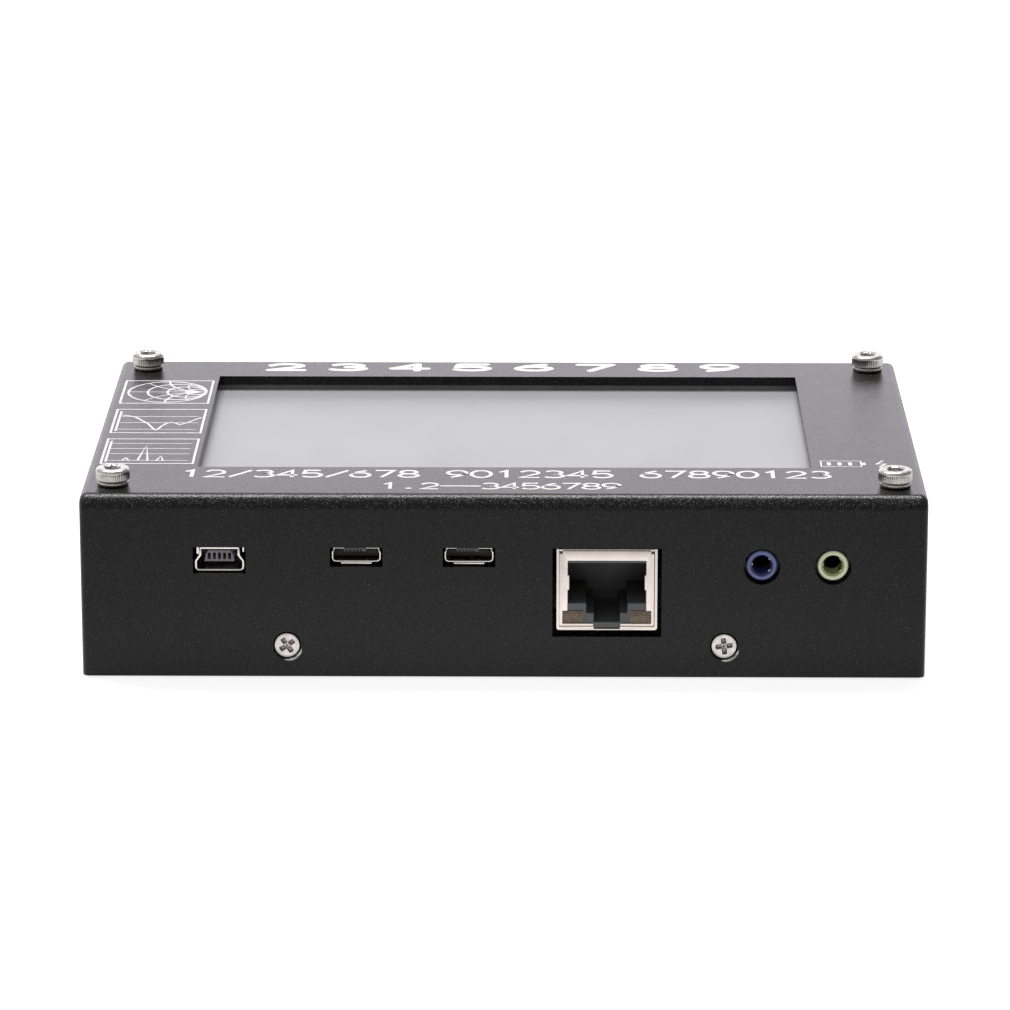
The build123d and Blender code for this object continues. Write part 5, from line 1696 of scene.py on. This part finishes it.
@dataclass
class NetworkPort:
    """The network socket's folded shield and its two lamp windows, with painted glints on each."""

    at: Point = (16.26, -41.9, 14.14)
    half: Flat = (7.95, 6.6)
    length: float = 21.3
    sheet: float = 0.3
    rim_depth: float = 0.6
    rim_edge: float = 0.06
    rim_corners: tuple[Point, ...] = (
        (-7.95, 6.78, 0.1), (-7.95, -6.6, 0.42), (7.95, -6.6, 0.42), (7.95, 6.78, 0.1),
        (7.5, 6.78, 0.1), (7.5, -5.95, 0.12), (2.06, -5.95, 0.05), (2.06, -6.36, 0.03),
        (-2.06, -6.36, 0.03), (-2.06, -5.95, 0.05), (-7.5, -5.95, 0.12), (-7.5, 6.78, 0.1),
    )
    face_corners: tuple[Point, ...] = (
        (2.1, -5.91, 0.04), (7.43, -5.91, 0.15), (7.43, 5.98, 0.05), (6.95, 5.98, 0.05),
        (6.95, 6.44, 0.1), (-6.95, 6.44, 0.1), (-6.95, 5.98, 0.05), (-7.5, 5.98, 0.0),
        (-7.5, -5.91, 0.15), (-2.1, -5.91, 0.04), (-2.1, -5.5, 0.04), (-6.97, -5.5, 0.1),
        (-6.97, -3.44, 0.05), (-6.18, -3.44, 0.05), (-6.18, 0.0, 0.05), (-5.93, 0.0, 0.05),
        (-5.93, 2.44, 0.05), (-6.18, 2.44, 0.05), (-6.18, 4.8, 0.12), (6.18, 4.8, 0.12),
        (6.18, 2.44, 0.05), (5.93, 2.44, 0.05), (5.93, 0.0, 0.05), (6.18, 0.0, 0.05),
        (6.18, -3.44, 0.05), (6.97, -3.44, 0.05), (6.97, -5.5, 0.1), (2.1, -5.5, 0.04),
    )
    face_set: float = 0.03
    face_edge: float = 0.07
    wall_rounds: Flat = (0.42, 0.1)
    overlap: float = 0.02
    lid_inset: float = 0.1
    lid_drop: float = 0.01
    post: Flat = (1.0, 3.0)
    post_x: float = 5.3
    post_edge: float = 0.05
    board_base: float = 7.16
    lens_x: float = 5.29
    lens_y: float = -4.47
    lens: Flat = (3.3, 1.98)
    lens_round: float = 0.08
    lens_set: float = 0.18
    lens_length: float = 14.1
    ribs: int = 6
    rib: Flat = (3.14, 0.2)
    rib_round: float = 0.05
    rib_reach: Flat = (-0.04, 0.06)
    glints: tuple[tuple[Flat, ...], ...] = (
        ((-0.4, 0.22), (0.05, 0.1), (0.5, 0.3), (0.3, -0.15)),
        ((-0.5, -0.05), (-0.05, 0.25), (0.35, 0.05), (0.6, -0.25)),
    )
    glint: Flat = (0.26, 0.13)
    glint_round: float = 0.05
    glint_reach: Flat = (-0.05, 0.09)
    glint_edge: float = 0.04

    def build(self) -> list[bpy.types.Object]:
        """Makes the shield, then the lens and its painted glints on each side.

        Returns:
            The pieces.
        """
        made = [self.shield().piece("network_port_shield", FINISHES["nickel"], ["network_shield"])]
        for number, (side, glints) in enumerate(zip((-1, 1), self.glints), 1):
            made.append(self.window(side).piece(
                f"network_port_lamp_{number}", FINISHES["lamp_amber"], ["network_light_pipes"],
            ))
            # Small light amber blocks on the lens: painted glints.
            painted_glints = self.maker()
            low, high = self.glint_reach
            for x, y in glints:
                middle = (side * self.lens_x + x, self.lens_y + y)
                outline = box(middle, self.glint, self.glint_round)
                painted_glints.block(outline, -self.lens_set + low, -self.lens_set + high, self.glint_edge)
            made.append(painted_glints.piece(f"network_lamp_glints_{number}", LAMP_GLINT))
        return made

    def maker(self) -> MeshMaker:
        """A maker seated in the middle of the socket's face."""
        return MeshMaker(Face.FRONT.seat(*self.at))

    def shield(self) -> MeshMaker:
        """The folded shield: side walls, face, closed back and the posts to the board.

        Returns:
            Its maker.
        """
        maker = self.maker()
        maker.plate(rounded(self.rim_corners, 4), [], -self.rim_depth, 0.0, self.rim_edge)
        front = -self.face_set
        maker.plate(rounded(self.face_corners, 3), [], front - self.sheet, front, self.face_edge)
        x, y = self.half
        low, high = self.wall_rounds
        tube = rounded([(-x, -y, low), (x, -y, low), (x, y, high), (-x, y, high)], 4)
        inner = inset(tube, self.sheet)
        mouth, back = -self.rim_depth + self.overlap, -self.length
        walls = [level(tube, back), level(tube, mouth), level(inner, mouth), level(inner, back)]
        maker.loft(walls, looped=True)
        maker.block(inset(tube, self.overlap), -self.length, -self.length + self.sheet, self.overlap)
        edge, below, above = x - self.lid_inset, y - self.sheet, y - self.lid_drop
        lid = [(-edge, below), (edge, below), (edge, above), (-edge, above)]
        maker.block(lid, -self.rim_depth - self.lid_inset, -self.sheet, self.overlap)
        width, length = self.post
        middle, base = -self.length / 2, y - self.overlap
        for side in (-1, 1):
            near, far = side * self.post_x - width / 2, side * self.post_x + width / 2
            outline = [(near, base), (far, base), (far, self.board_base), (near, self.board_base)]
            maker.block(outline, middle - length / 2, middle + length / 2, self.post_edge)
        return maker

    def window(self, side: int) -> MeshMaker:
        """One lamp window: a long lens with fine level ribs across its face.

        Args:
            side: -1 for the left one, 1 for the right one.

        Returns:
            Its maker.
        """
        maker = self.maker()
        middle = side * self.lens_x
        outline = box((middle, self.lens_y), self.lens, self.lens_round, 3)
        maker.block(outline, -self.lens_set - self.lens_length, -self.lens_set, self.lens_round)
        step = self.lens[1] / self.ribs
        low, high = self.rib_reach
        for k in range(self.ribs):
            bar = box((middle, self.lens_y + step * (k - (self.ribs - 1) / 2)), self.rib, self.rib_round)
            maker.block(bar, -self.lens_set + low, -self.lens_set + high, self.rib_round)
        return maker


@dataclass
class AudioJacks:
    """A sleeve of painted shade and the contact springs inside each audio jack."""

    places: tuple[float, ...] = (40.54, 51.7)
    face_y: float = -41.75
    height: float = 18.17
    bore_radius: float = 1.8
    sleeve_gap: float = 0.01
    sleeve_wall: float = 0.25
    sleeve_floor: float = 0.4
    sleeve_bevels: tuple[Flat, Flat] = ((0.08, 0.1), (0.05, 0.05))
    sleeve_front: float = 0.45
    sleeve_dark: float = 4.0
    sleeve_end: float = 11.9
    shaded_bores: tuple[Finish, Finish] = (SHADED_BLUE_BORE, SHADED_GREEN_BORE)
    spring_turns: tuple[float, ...] = (38.0, 176.0, -38.0)
    spring_path: tuple[Flat, ...] = ((0.24, 0.5), (0.36, 0.62), (0.46, 1.3), (0.24, 2.6))
    spring_half_width: float = 0.22
    spring_thick: float = 0.07

    def build(self) -> list[bpy.types.Object]:
        """Makes the inner parts of both jacks.

        Returns:
            The pieces.
        """
        made = []
        for number, (x, bore) in enumerate(zip(self.places, self.shaded_bores), 1):
            seat = Face.FRONT.seat(x, self.face_y, self.height)
            sleeve = self.sleeve(seat)
            made.append(sleeve.piece(f"jack_shade_sleeve_{number}", bore, stain=FINISHES["black_plastic"]))
            made.append(self.springs(seat).piece(f"jack_springs_{number}", FINISHES["nickel"]))
        return made

    def sleeve(self, seat: Seat) -> MeshMaker:
        """A closed tube that lines the bore from just behind the mouth, in a darker copy of the jack's colour
        and black towards its end, all painted shade.

        Args:
            seat: the middle of the jack's mouth.

        Returns:
            The maker that holds the tube; its black end, painted shade, is marked with material 1.
        """
        outer, inner = self.bore_radius - self.sleeve_gap, self.bore_radius - self.sleeve_wall
        front, dark, end = self.sleeve_front, self.sleeve_dark, self.sleeve_end
        (out, back), (bore_out, bore_back) = self.sleeve_bevels
        maker = MeshMaker(seat).turned([
            (0.0, -end), (outer, -end), (outer, -front - back), (outer - out, -front),
            (inner + bore_out, -front), (inner, -front - bore_back), (inner, -dark),
            (inner, -end + self.sleeve_floor), (0.0, -end + self.sleeve_floor),
        ], 40)
        return maker.mark(lambda spots: max(spot.z for spot in spots) < self.sleeve_gap - dark)

    def springs(self, seat: Seat) -> MeshMaker:
        """Bowed leaves that stand a little into the bore.

        Args:
            seat: the middle of the jack's mouth.

        Returns:
            Their maker.
        """
        maker = MeshMaker(seat)
        half, thick = self.spring_half_width, self.spring_thick
        for turn in self.spring_turns:
            cos, sin = math.cos(math.radians(turn)), math.sin(math.radians(turn))
            rows = []
            for rise, depth in self.spring_path:
                row = []
                for off, across in ((0.0, -half), (0.0, half), (thick, half), (thick, -half)):
                    reach = self.bore_radius - rise - off
                    row.append((reach * cos - across * sin, reach * sin + across * cos, -depth))
                rows.append(row)
            maker.loft(rows)
        return maker


@dataclass
class AntennaPort:
    """The antenna connector: square flange, threaded barrel and four slotted screws."""

    x: float = -48.0
    z: float = 12.0
    flange: float = 17.5
    flange_round: float = 1.0
    flange_height: float = 2.5
    flange_edge: float = 0.3
    boss_radius: float = 5.9
    boss_bevel: float = 0.3
    boss_top: float = 0.2
    boss_depth: float = 5.0
    core_radius: float = 2.5
    neck_radius: float = 6.7
    neck_edge: float = 0.1
    neck_top: float = 6.0
    thread_radius: float = 7.9
    thread_depth: float = 0.62
    thread_pitch: float = 1.058
    thread_form: Flat = (1.25, 0.12)
    thread_start: float = 0.5
    thread_points: int = 72
    thread_steps: int = 8
    tip: float = 16.6
    tip_bevel: float = 0.8
    bore_radius: float = 4.05
    bore_bevel: float = 0.25
    bore_depth: float = 9.0
    screw_offset: float = 6.35
    screw_radius: float = 2.25
    screw_height: float = 1.5
    screw_foot: float = 0.05
    screw_edge: float = 0.35
    screw_slot: Flat = (0.6, 0.7)
    screw_turns: tuple[float, ...] = (20.0, 75.0, -35.0, 8.0)
    screw_shank: Flat = (1.2, 7.5)
    screw_tip: float = 0.2

    def build(self) -> list[bpy.types.Object]:
        """Makes the connector and its screws.

        Returns:
            The pieces.
        """
        seat = Face.REAR.seat(self.x, REAR_WALL, self.z)
        maker = MeshMaker(seat)
        outline = box((0.0, 0.0), (self.flange, self.flange), self.flange_round, 6)
        maker.block(outline, 0.0, self.flange_height, self.flange_edge)
        core, boss, bevel = self.core_radius, self.boss_radius, self.boss_bevel
        maker.turned([
            (core, -self.boss_depth), (boss - bevel, -self.boss_depth), (boss, -self.boss_depth + bevel),
            (boss, self.boss_top), (core, self.boss_top),
        ], 48, looped=True)
        maker.loft(self.barrel(), looped=True)
        finish = FINISHES[SLOT_OF["antenna_connector"]]
        made = [maker.piece("antenna_port_body", finish, ["antenna_connector"])]
        corners = [(sx * self.screw_offset, sy * self.screw_offset) for sx in (-1, 1) for sy in (-1, 1)]
        for number, ((x, y), turn) in enumerate(zip(corners, self.screw_turns), 1):
            place = Face.REAR.seat(self.x - x, REAR_WALL + self.flange_height, self.z + y).turned(turn)
            made.append(self.screw(place).piece(
                f"flange_screw_{number}", FINISHES[SLOT_OF["connector_screws"]], ["connector_screws"],
            ))
        return made

    def barrel(self) -> list[list[Point]]:
        """Sections of the neck, the thread, the mouth and the bore.

        Returns:
            The sections in order, which close in a loop.
        """
        count, edge = self.thread_points, self.neck_edge
        neck = [(self.core_radius, edge), (self.neck_radius, edge), (self.neck_radius, self.neck_top - edge)]
        rows = [level(circle(radius, count), z) for radius, z in neck]
        sections = int((self.tip - self.neck_top) / self.thread_pitch * self.thread_steps)
        gain, flat = self.thread_form
        for k in range(sections + 1):
            z = self.neck_top + (self.tip - self.neck_top) * k / sections
            limit = self.thread_radius - max(0.0, self.tip_bevel - (self.tip - z))
            limit -= max(0.0, self.thread_start - (z - self.neck_top))
            row = []
            for i in range(count):
                wave = thread_cut(z, i / count, self.thread_pitch)
                cut = self.thread_depth * min(1.0, max(0.0, gain * wave - flat))
                row.append((*polar(min(limit, self.thread_radius - cut), math.tau * i / count), z))
            rows.append(row)
        floor, bevel = self.tip - self.bore_depth, self.bore_bevel
        bore = [
            (self.bore_radius + bevel, self.tip), (self.bore_radius, self.tip - bevel),
            (self.bore_radius, floor), (self.core_radius, floor),
        ]
        return rows + [level(circle(radius, count), z) for radius, z in bore]

    def screw(self, seat: Seat) -> MeshMaker:
        """A slotted pan-head screw with its head on the seat.

        Args:
            seat: the middle of the head's underside.

        Returns:
            The maker that holds the screw.
        """
        radius, height = self.screw_radius, self.screw_height
        width, depth = self.screw_slot
        shank, length = self.screw_shank
        floor, foot, tip = height - depth, self.screw_foot, self.screw_tip
        maker = MeshMaker(seat).turned([
            (0.0, -length), (shank - tip, -length), (shank, -length + tip), (shank, 0.0),
            (radius - foot, 0.0), (radius, foot), (radius, floor), (0.0, floor),
        ], 48)
        edge = math.degrees(math.asin(width / 2 / radius))
        for start in (0, 180):
            segment = arc((0, 0), (radius, radius), start + edge, start + 180 - edge, 25)
            maker.block(segment, floor - foot, height, self.screw_edge)
        return maker


@dataclass
class PowerSwitch:
    """The power rocker with its two raised marks."""

    pivot: Point = (44.0, 43.2, 12.0)
    tilt: float = -11.0
    radius: float = 5.8
    base: float = 2.6
    end: float = 2.86
    end_x: float = 5.046
    end_round: float = 0.35
    waist: float = 1.9
    waist_round: float = 5.0
    half_width: float = 3.7
    edge: float = 0.3
    trunnion: Flat = (0.7, 4.4)
    trunnion_bevel: float = 0.1
    trunnion_foot: float = 0.2
    mark_at: float = 2.9
    mark_half: Flat = (0.85, 1.15)
    mark_width: float = 0.4
    mark_reach: Flat = (-0.05, 0.03)

    def build(self) -> list[bpy.types.Object]:
        """Makes the rocker and its marks.

        Returns:
            The pieces.
        """
        seat = Seat(self.pivot).turned(self.tilt)
        finish = FINISHES[SLOT_OF["power_switch_rocker"]]
        made = [self.rocker(seat).piece("rocker_cap", finish, ["power_switch_rocker"], "rocker")]
        ring = self.half_face(seat, 1)
        ring.stroke(arc((0, 0), self.mark_half, 0, 350, 36), self.mark_width, *self.mark_reach, closed=True)
        made.append(ring.piece("rocker_mark_off", INK, body="rocker"))
        bar = self.half_face(seat, -1)
        rise = self.mark_half[1]
        bar.stroke([(0.0, -rise), (0.0, rise)], self.mark_width, *self.mark_reach)
        made.append(bar.piece("rocker_mark_on", INK, body="rocker"))
        return made

    def rocker(self, seat: Seat) -> MeshMaker:
        """The rocker as a slab with a shallow valley, rounded along both sides.

        Args:
            seat: the pivot, turned with the rocker.

        Returns:
            The maker that holds the rocker and its two trunnions.
        """
        low = math.degrees(math.asin(-self.base / self.radius))
        high = math.degrees(math.asin(self.end / self.radius))
        sweep = arc((0, 0), (self.radius, self.radius), low, high, 14)
        corners = [(x, y, 0.0) for x, y in sweep[:-1]]
        corners += [
            (self.end_x, self.end, self.end_round), (0.0, self.waist, self.waist_round),
            (-self.end_x, self.end, self.end_round),
        ]
        corners += [(-x, y, 0.0) for x, y in reversed(sweep[:-1])]
        outline = rounded(corners, 6)
        bends = quarter(self.edge, 4)
        rows = [level(inset(outline, away), -self.half_width + drop) for away, drop in bends]
        rows += [level(inset(outline, away), self.half_width - drop) for away, drop in reversed(bends)]
        maker = MeshMaker(seat).loft(rows)
        pin, reach = self.trunnion
        bevel, foot = self.trunnion_bevel, self.half_width - self.trunnion_foot
        for side in (-1, 1):
            maker.turned([
                (0.0, side * reach), (pin - bevel, side * reach), (pin, side * (reach - bevel)),
                (pin, side * foot), (0.0, side * foot),
            ], 24)
        return maker

    def half_face(self, seat: Seat, side: int) -> MeshMaker:
        """A maker seated on one half of the rocker's face.

        Args:
            seat: the pivot, turned with the rocker.
            side: -1 or 1, for the half.

        Returns:
            The maker.
        """
        slope = (self.end - self.waist) / self.end_x
        spot = seat.at(side * self.mark_at, self.waist + slope * self.mark_at) / MM
        along = (seat.at(1.0, side * slope) - seat.at(0.0, 0.0)).normalized()
        return MeshMaker(Seat(tuple(spot), tuple(-along), (0.0, 0.0, 1.0)))


# --- Printed artwork ---

# Strokes of plain digits and marks in a cell one unit wide and one unit high.
DIGITS: dict[str, list[list[Flat]]] = {
    "0": [arc((0.5, 0.5), (0.5, 0.5), 0, 360, 33)],
    "1": [[(0.2, 0.78), (0.55, 1.0), (0.55, 0.0)]],
    "2": [arc((0.5, 0.7), (0.45, 0.3), 165, -35, 14) + [(0.02, 0.0), (1.0, 0.0)]],
    "3": [arc((0.48, 0.75), (0.42, 0.25), 150, -90, 14) + arc((0.48, 0.25), (0.5, 0.25), 90, -150, 14)],
    "4": [[(0.72, 0.0), (0.72, 1.0), (0.0, 0.3), (1.0, 0.3)]],
    "5": [[(0.92, 1.0), (0.15, 1.0), (0.08, 0.55)] + arc((0.48, 0.31), (0.5, 0.31), 125, -150, 16)],
    "6": [[(0.8, 0.98), (0.3, 0.75)] + arc((0.5, 0.32), (0.48, 0.32), 160, -200, 24)],
    "7": [[(0.02, 1.0), (0.98, 1.0), (0.35, 0.0)]],
    "8": [arc((0.5, 0.76), (0.4, 0.24), -90, 270, 22), arc((0.5, 0.26), (0.48, 0.26), 90, 450, 22)],
    "9": [[(0.2, 0.02), (0.7, 0.25)] + arc((0.5, 0.68), (0.48, 0.32), -20, 340, 24)],
    "/": [[(0.0, 0.0), (1.1, 1.0)]],
    ".": [[(0.3, 0.08), (0.62, 0.08)]],
    "-": [[(-0.05, 0.5), (1.1, 0.5)]],
}


@dataclass
class Print:
    """White ink on the top plate: charts, scales and a charge sign.

    Charts are drawn in shares of their side. The battery's nub has a distance,
    a shortening and a width; its bars have a first place, a pitch and a shortening.
    """

    ink_low: float = -0.01
    ink_high: float = 0.012
    layer: float = 0.0006
    layers: int = 14
    laid: int = 0
    closing: float = 1e-6
    bold: float = 1.4
    letter: float = 0.62
    small: float = 0.52
    line: float = 0.36
    fine: float = 0.24
    chart_left: float = -64.6
    chart_side: Flat = (14.72, 14.75)
    chart_tops: tuple[float, ...] = (28.4, 9.7, -8.8)
    circle_size: float = 0.455
    circle_middle: float = 0.495
    circle_squash: float = 0.98
    resistances: tuple[float, ...] = (0.0, 0.33, 1.0, 3.0)
    reactances: tuple[float, ...] = (0.55, 1.0, 2.0)
    notch_lines: tuple[float, ...] = (0.31, 0.57, 0.85)
    notch_curve: tuple[Flat, ...] = (
        (0.07, 0.25), (0.14, 0.27), (0.23, 0.34), (0.3, 0.46), (0.39, 0.62), (0.47, 0.84), (0.49, 0.88),
        (0.51, 0.85), (0.55, 0.71), (0.6, 0.59), (0.645, 0.55), (0.69, 0.58), (0.745, 0.66), (0.83, 0.56),
        (0.91, 0.43), (0.97, 0.34),
    )
    peak_lines: tuple[float, ...] = (0.19, 0.4, 0.61, 0.88)
    peaks: tuple[tuple[Flat, ...], ...] = (
        ((0.22, 0.88), (0.256, 0.78), (0.296, 0.88)),
        ((0.39, 0.88), (0.445, 0.25), (0.5, 0.88)),
        ((0.595, 0.88), (0.635, 0.7), (0.668, 0.88)),
    )
    title_start: Flat = (-40.9, 35.8)
    title_cell: Flat = (5.8, 4.05)
    title_pitch: float = 10.62
    long_start: Flat = (-51.25, -31.3)
    long_cell: Flat = (3.1, 3.9)
    long_pitch: float = 3.84
    short_start: Flat = (-19.4, -37.9)
    short_cell: Flat = (2.75, 3.3)
    short_pitch: float = 3.18
    battery_low: Flat = (50.6, -24.6)
    battery_high: Flat = (57.0, -21.2)
    battery_nub: Point = (0.45, 1.0, 0.55)
    battery_bars: int = 3
    battery_bar: Point = (1.25, 1.7, 0.8)
    bolt: tuple[Flat, ...] = ((60.6, -20.9), (59.5, -22.9), (60.9, -22.9), (59.8, -24.9))

    def build(self) -> list[bpy.types.Object]:
        """Prints every group of marks.

        Returns:
            The printed pieces.
        """
        makers: dict[str, Callable[[MeshMaker], None]] = {
            "print_circle_chart": self.circle_chart,
            "print_notch_chart": self.notch_chart,
            "print_peak_chart": self.peak_chart,
            "print_title_digits": self.title_digits,
            "print_long_row": self.long_row,
            "print_short_row": self.short_row,
            "print_charge_sign": self.charge_sign,
        }
        made = []
        for name, draw in makers.items():
            maker = MeshMaker(Face.TOP.seat(0.0, 0.0, PLATE_TOP))
            draw(maker)
            made.append(maker.piece(name, INK))
        return made

    def draw(self, maker: MeshMaker, line: Sequence[Flat], width: float) -> None:
        """Lays one inked line; a line that ends where it starts is closed.

        Args:
            maker: where the line goes.
            line: the points of the line.
            width: its width.
        """
        closed = math.dist(line[0], line[-1]) < self.closing
        high = self.ink_high + self.layer * (self.laid % self.layers)
        self.laid += 1
        maker.stroke(line[:-1] if closed else line, width, self.ink_low, high, closed)

    def spot(self, index: int, across: float, down: float) -> Flat:
        """The plate point of a share of the way across and down a chart."""
        width, height = self.chart_side
        return (self.chart_left + width * across, self.chart_tops[index] - height * down)

    def chart_line(self, maker: MeshMaker, index: int, shares: Sequence[Flat], width: float) -> None:
        """Draws a line given as shares across and down a chart."""
        self.draw(maker, [self.spot(index, across, down) for across, down in shares], width)

    def border(self, maker: MeshMaker, index: int) -> None:
        """The square border of a chart."""
        self.chart_line(maker, index, [(0, 0), (1, 0), (1, 1), (0, 1), (0, 0)], self.line)

    def circle_chart(self, maker: MeshMaker) -> None:
        """Circles that touch at the right, crossed by arcs and one axis.

        Args:
            maker: where the lines go.
        """
        self.border(maker, 0)
        size, middle, squash = self.circle_size, self.circle_middle, self.circle_squash
        for ratio in self.resistances:
            reach = size / (1 + ratio)
            centre = (middle + size - reach * squash, 0.5)
            self.chart_line(maker, 0, arc(centre, (reach * squash, reach), 0, 360, 49), self.line)
        self.chart_line(maker, 0, [(middle - size * (2 * squash - 1), 0.5), (middle + size, 0.5)], self.fine)
        for side in (-1, 1):
            for reactance, width in zip(self.reactances, (self.fine, self.line, self.fine)):
                reach = size / reactance
                end = 2 * math.degrees(math.atan(reactance))
                centre = (middle + size, 0.5 - side * reach)
                curve = arc(centre, (reach * squash, side * reach), 90, 90 + end, 24)
                self.chart_line(maker, 0, curve, width)

    def notch_chart(self, maker: MeshMaker) -> None:
        """A grid with one falling and rising curve.

        Args:
            maker: where the lines go.
        """
        self.border(maker, 1)
        self.chart_line(maker, 1, [(0.05, 0.09), (0.05, 0.93)], self.line)
        for down in self.notch_lines:
            self.chart_line(maker, 1, [(0.07, down), (0.94, down)], self.fine)
        self.chart_line(maker, 1, self.notch_curve, self.line)

    def peak_chart(self, maker: MeshMaker) -> None:
        """A grid with three peaks that stand on its base line.

        Args:
            maker: where the lines go.
        """
        self.border(maker, 2)
        self.chart_line(maker, 2, [(0.045, 0.08), (0.045, 0.93)], self.line)
        for down in self.peak_lines:
            self.chart_line(maker, 2, [(0.06, down), (0.94, down)], self.fine)
        for peak in self.peaks:
            self.chart_line(maker, 2, peak, self.line)

    def digits(
        self, maker: MeshMaker, text: str, start: Flat, cell: Flat, pitch: float, width: float
    ) -> None:
        """Writes digits in a row.

        Args:
            maker: where the strokes go.
            text: the digits; a space leaves a gap.
            start: lower left corner of the first one.
            cell: width and height of each.
            pitch: distance from one to the next.
            width: width of the strokes.
        """
        for place, digit in enumerate(text):
            for stroke in DIGITS.get(digit, []):
                line = [(start[0] + place * pitch + x * cell[0], start[1] + y * cell[1]) for x, y in stroke]
                self.draw(maker, line, width)

    def title_digits(self, maker: MeshMaker) -> None:
        """A row of bold digits behind the display.

        Args:
            maker: where the strokes go.
        """
        (left, low), (width, height) = self.title_start, self.title_cell
        for place, digit in enumerate("23456789"):
            for number, stroke in enumerate(DIGITS[digit]):
                line = [(left + place * self.title_pitch + x * width, low + y * height) for x, y in stroke]
                high = self.ink_high + self.layer / 3 * number
                maker.chain(line, self.bold, self.ink_low, high, self.layer / 4)

    def long_row(self, maker: MeshMaker) -> None:
        """A long row of digits in front of the display."""
        text = "12/345/678 9012345 67890123"
        self.digits(maker, text, self.long_start, self.long_cell, self.long_pitch, self.letter)

    def short_row(self, maker: MeshMaker) -> None:
        """A shorter and smaller row in front of the long one."""
        text = "1.2--3456789"
        self.digits(maker, text, self.short_start, self.short_cell, self.short_pitch, self.small)

    def charge_sign(self, maker: MeshMaker) -> None:
        """A battery outline and a bolt.

        Args:
            maker: where the strokes go.
        """
        (left, low), (right, high) = self.battery_low, self.battery_high
        self.draw(maker, [(left, low), (right, low), (right, high), (left, high), (left, low)], self.fine)
        away, short, width = self.battery_nub
        self.draw(maker, [(right + away, low + short), (right + away, high - short)], width)
        first, pitch, short = self.battery_bar
        for bar in range(self.battery_bars):
            x = left + first + bar * pitch
            self.draw(maker, [(x, low + short), (x, high - short)], self.letter)
        self.draw(maker, self.bolt, self.line)


# --- The whole ---


def main() -> None:
    """Builds every sub-assembly in order and reports each piece."""
    logging.basicConfig(level=logging.INFO, format="%(name)s: %(message)s")
    for assembly in (
        Studio(), CadSolids(), CoverScrews(), TrayScrews(), SerialPorts(), NetworkPort(), AudioJacks(),
        AntennaPort(), PowerSwitch(), Print(),
    ):
        for thing in assembly.build():
            LOG.info("%s: %s, %d faces", type(assembly).__name__, thing.name, len(thing.data.polygons))


if __name__ == "__main__":
    main()
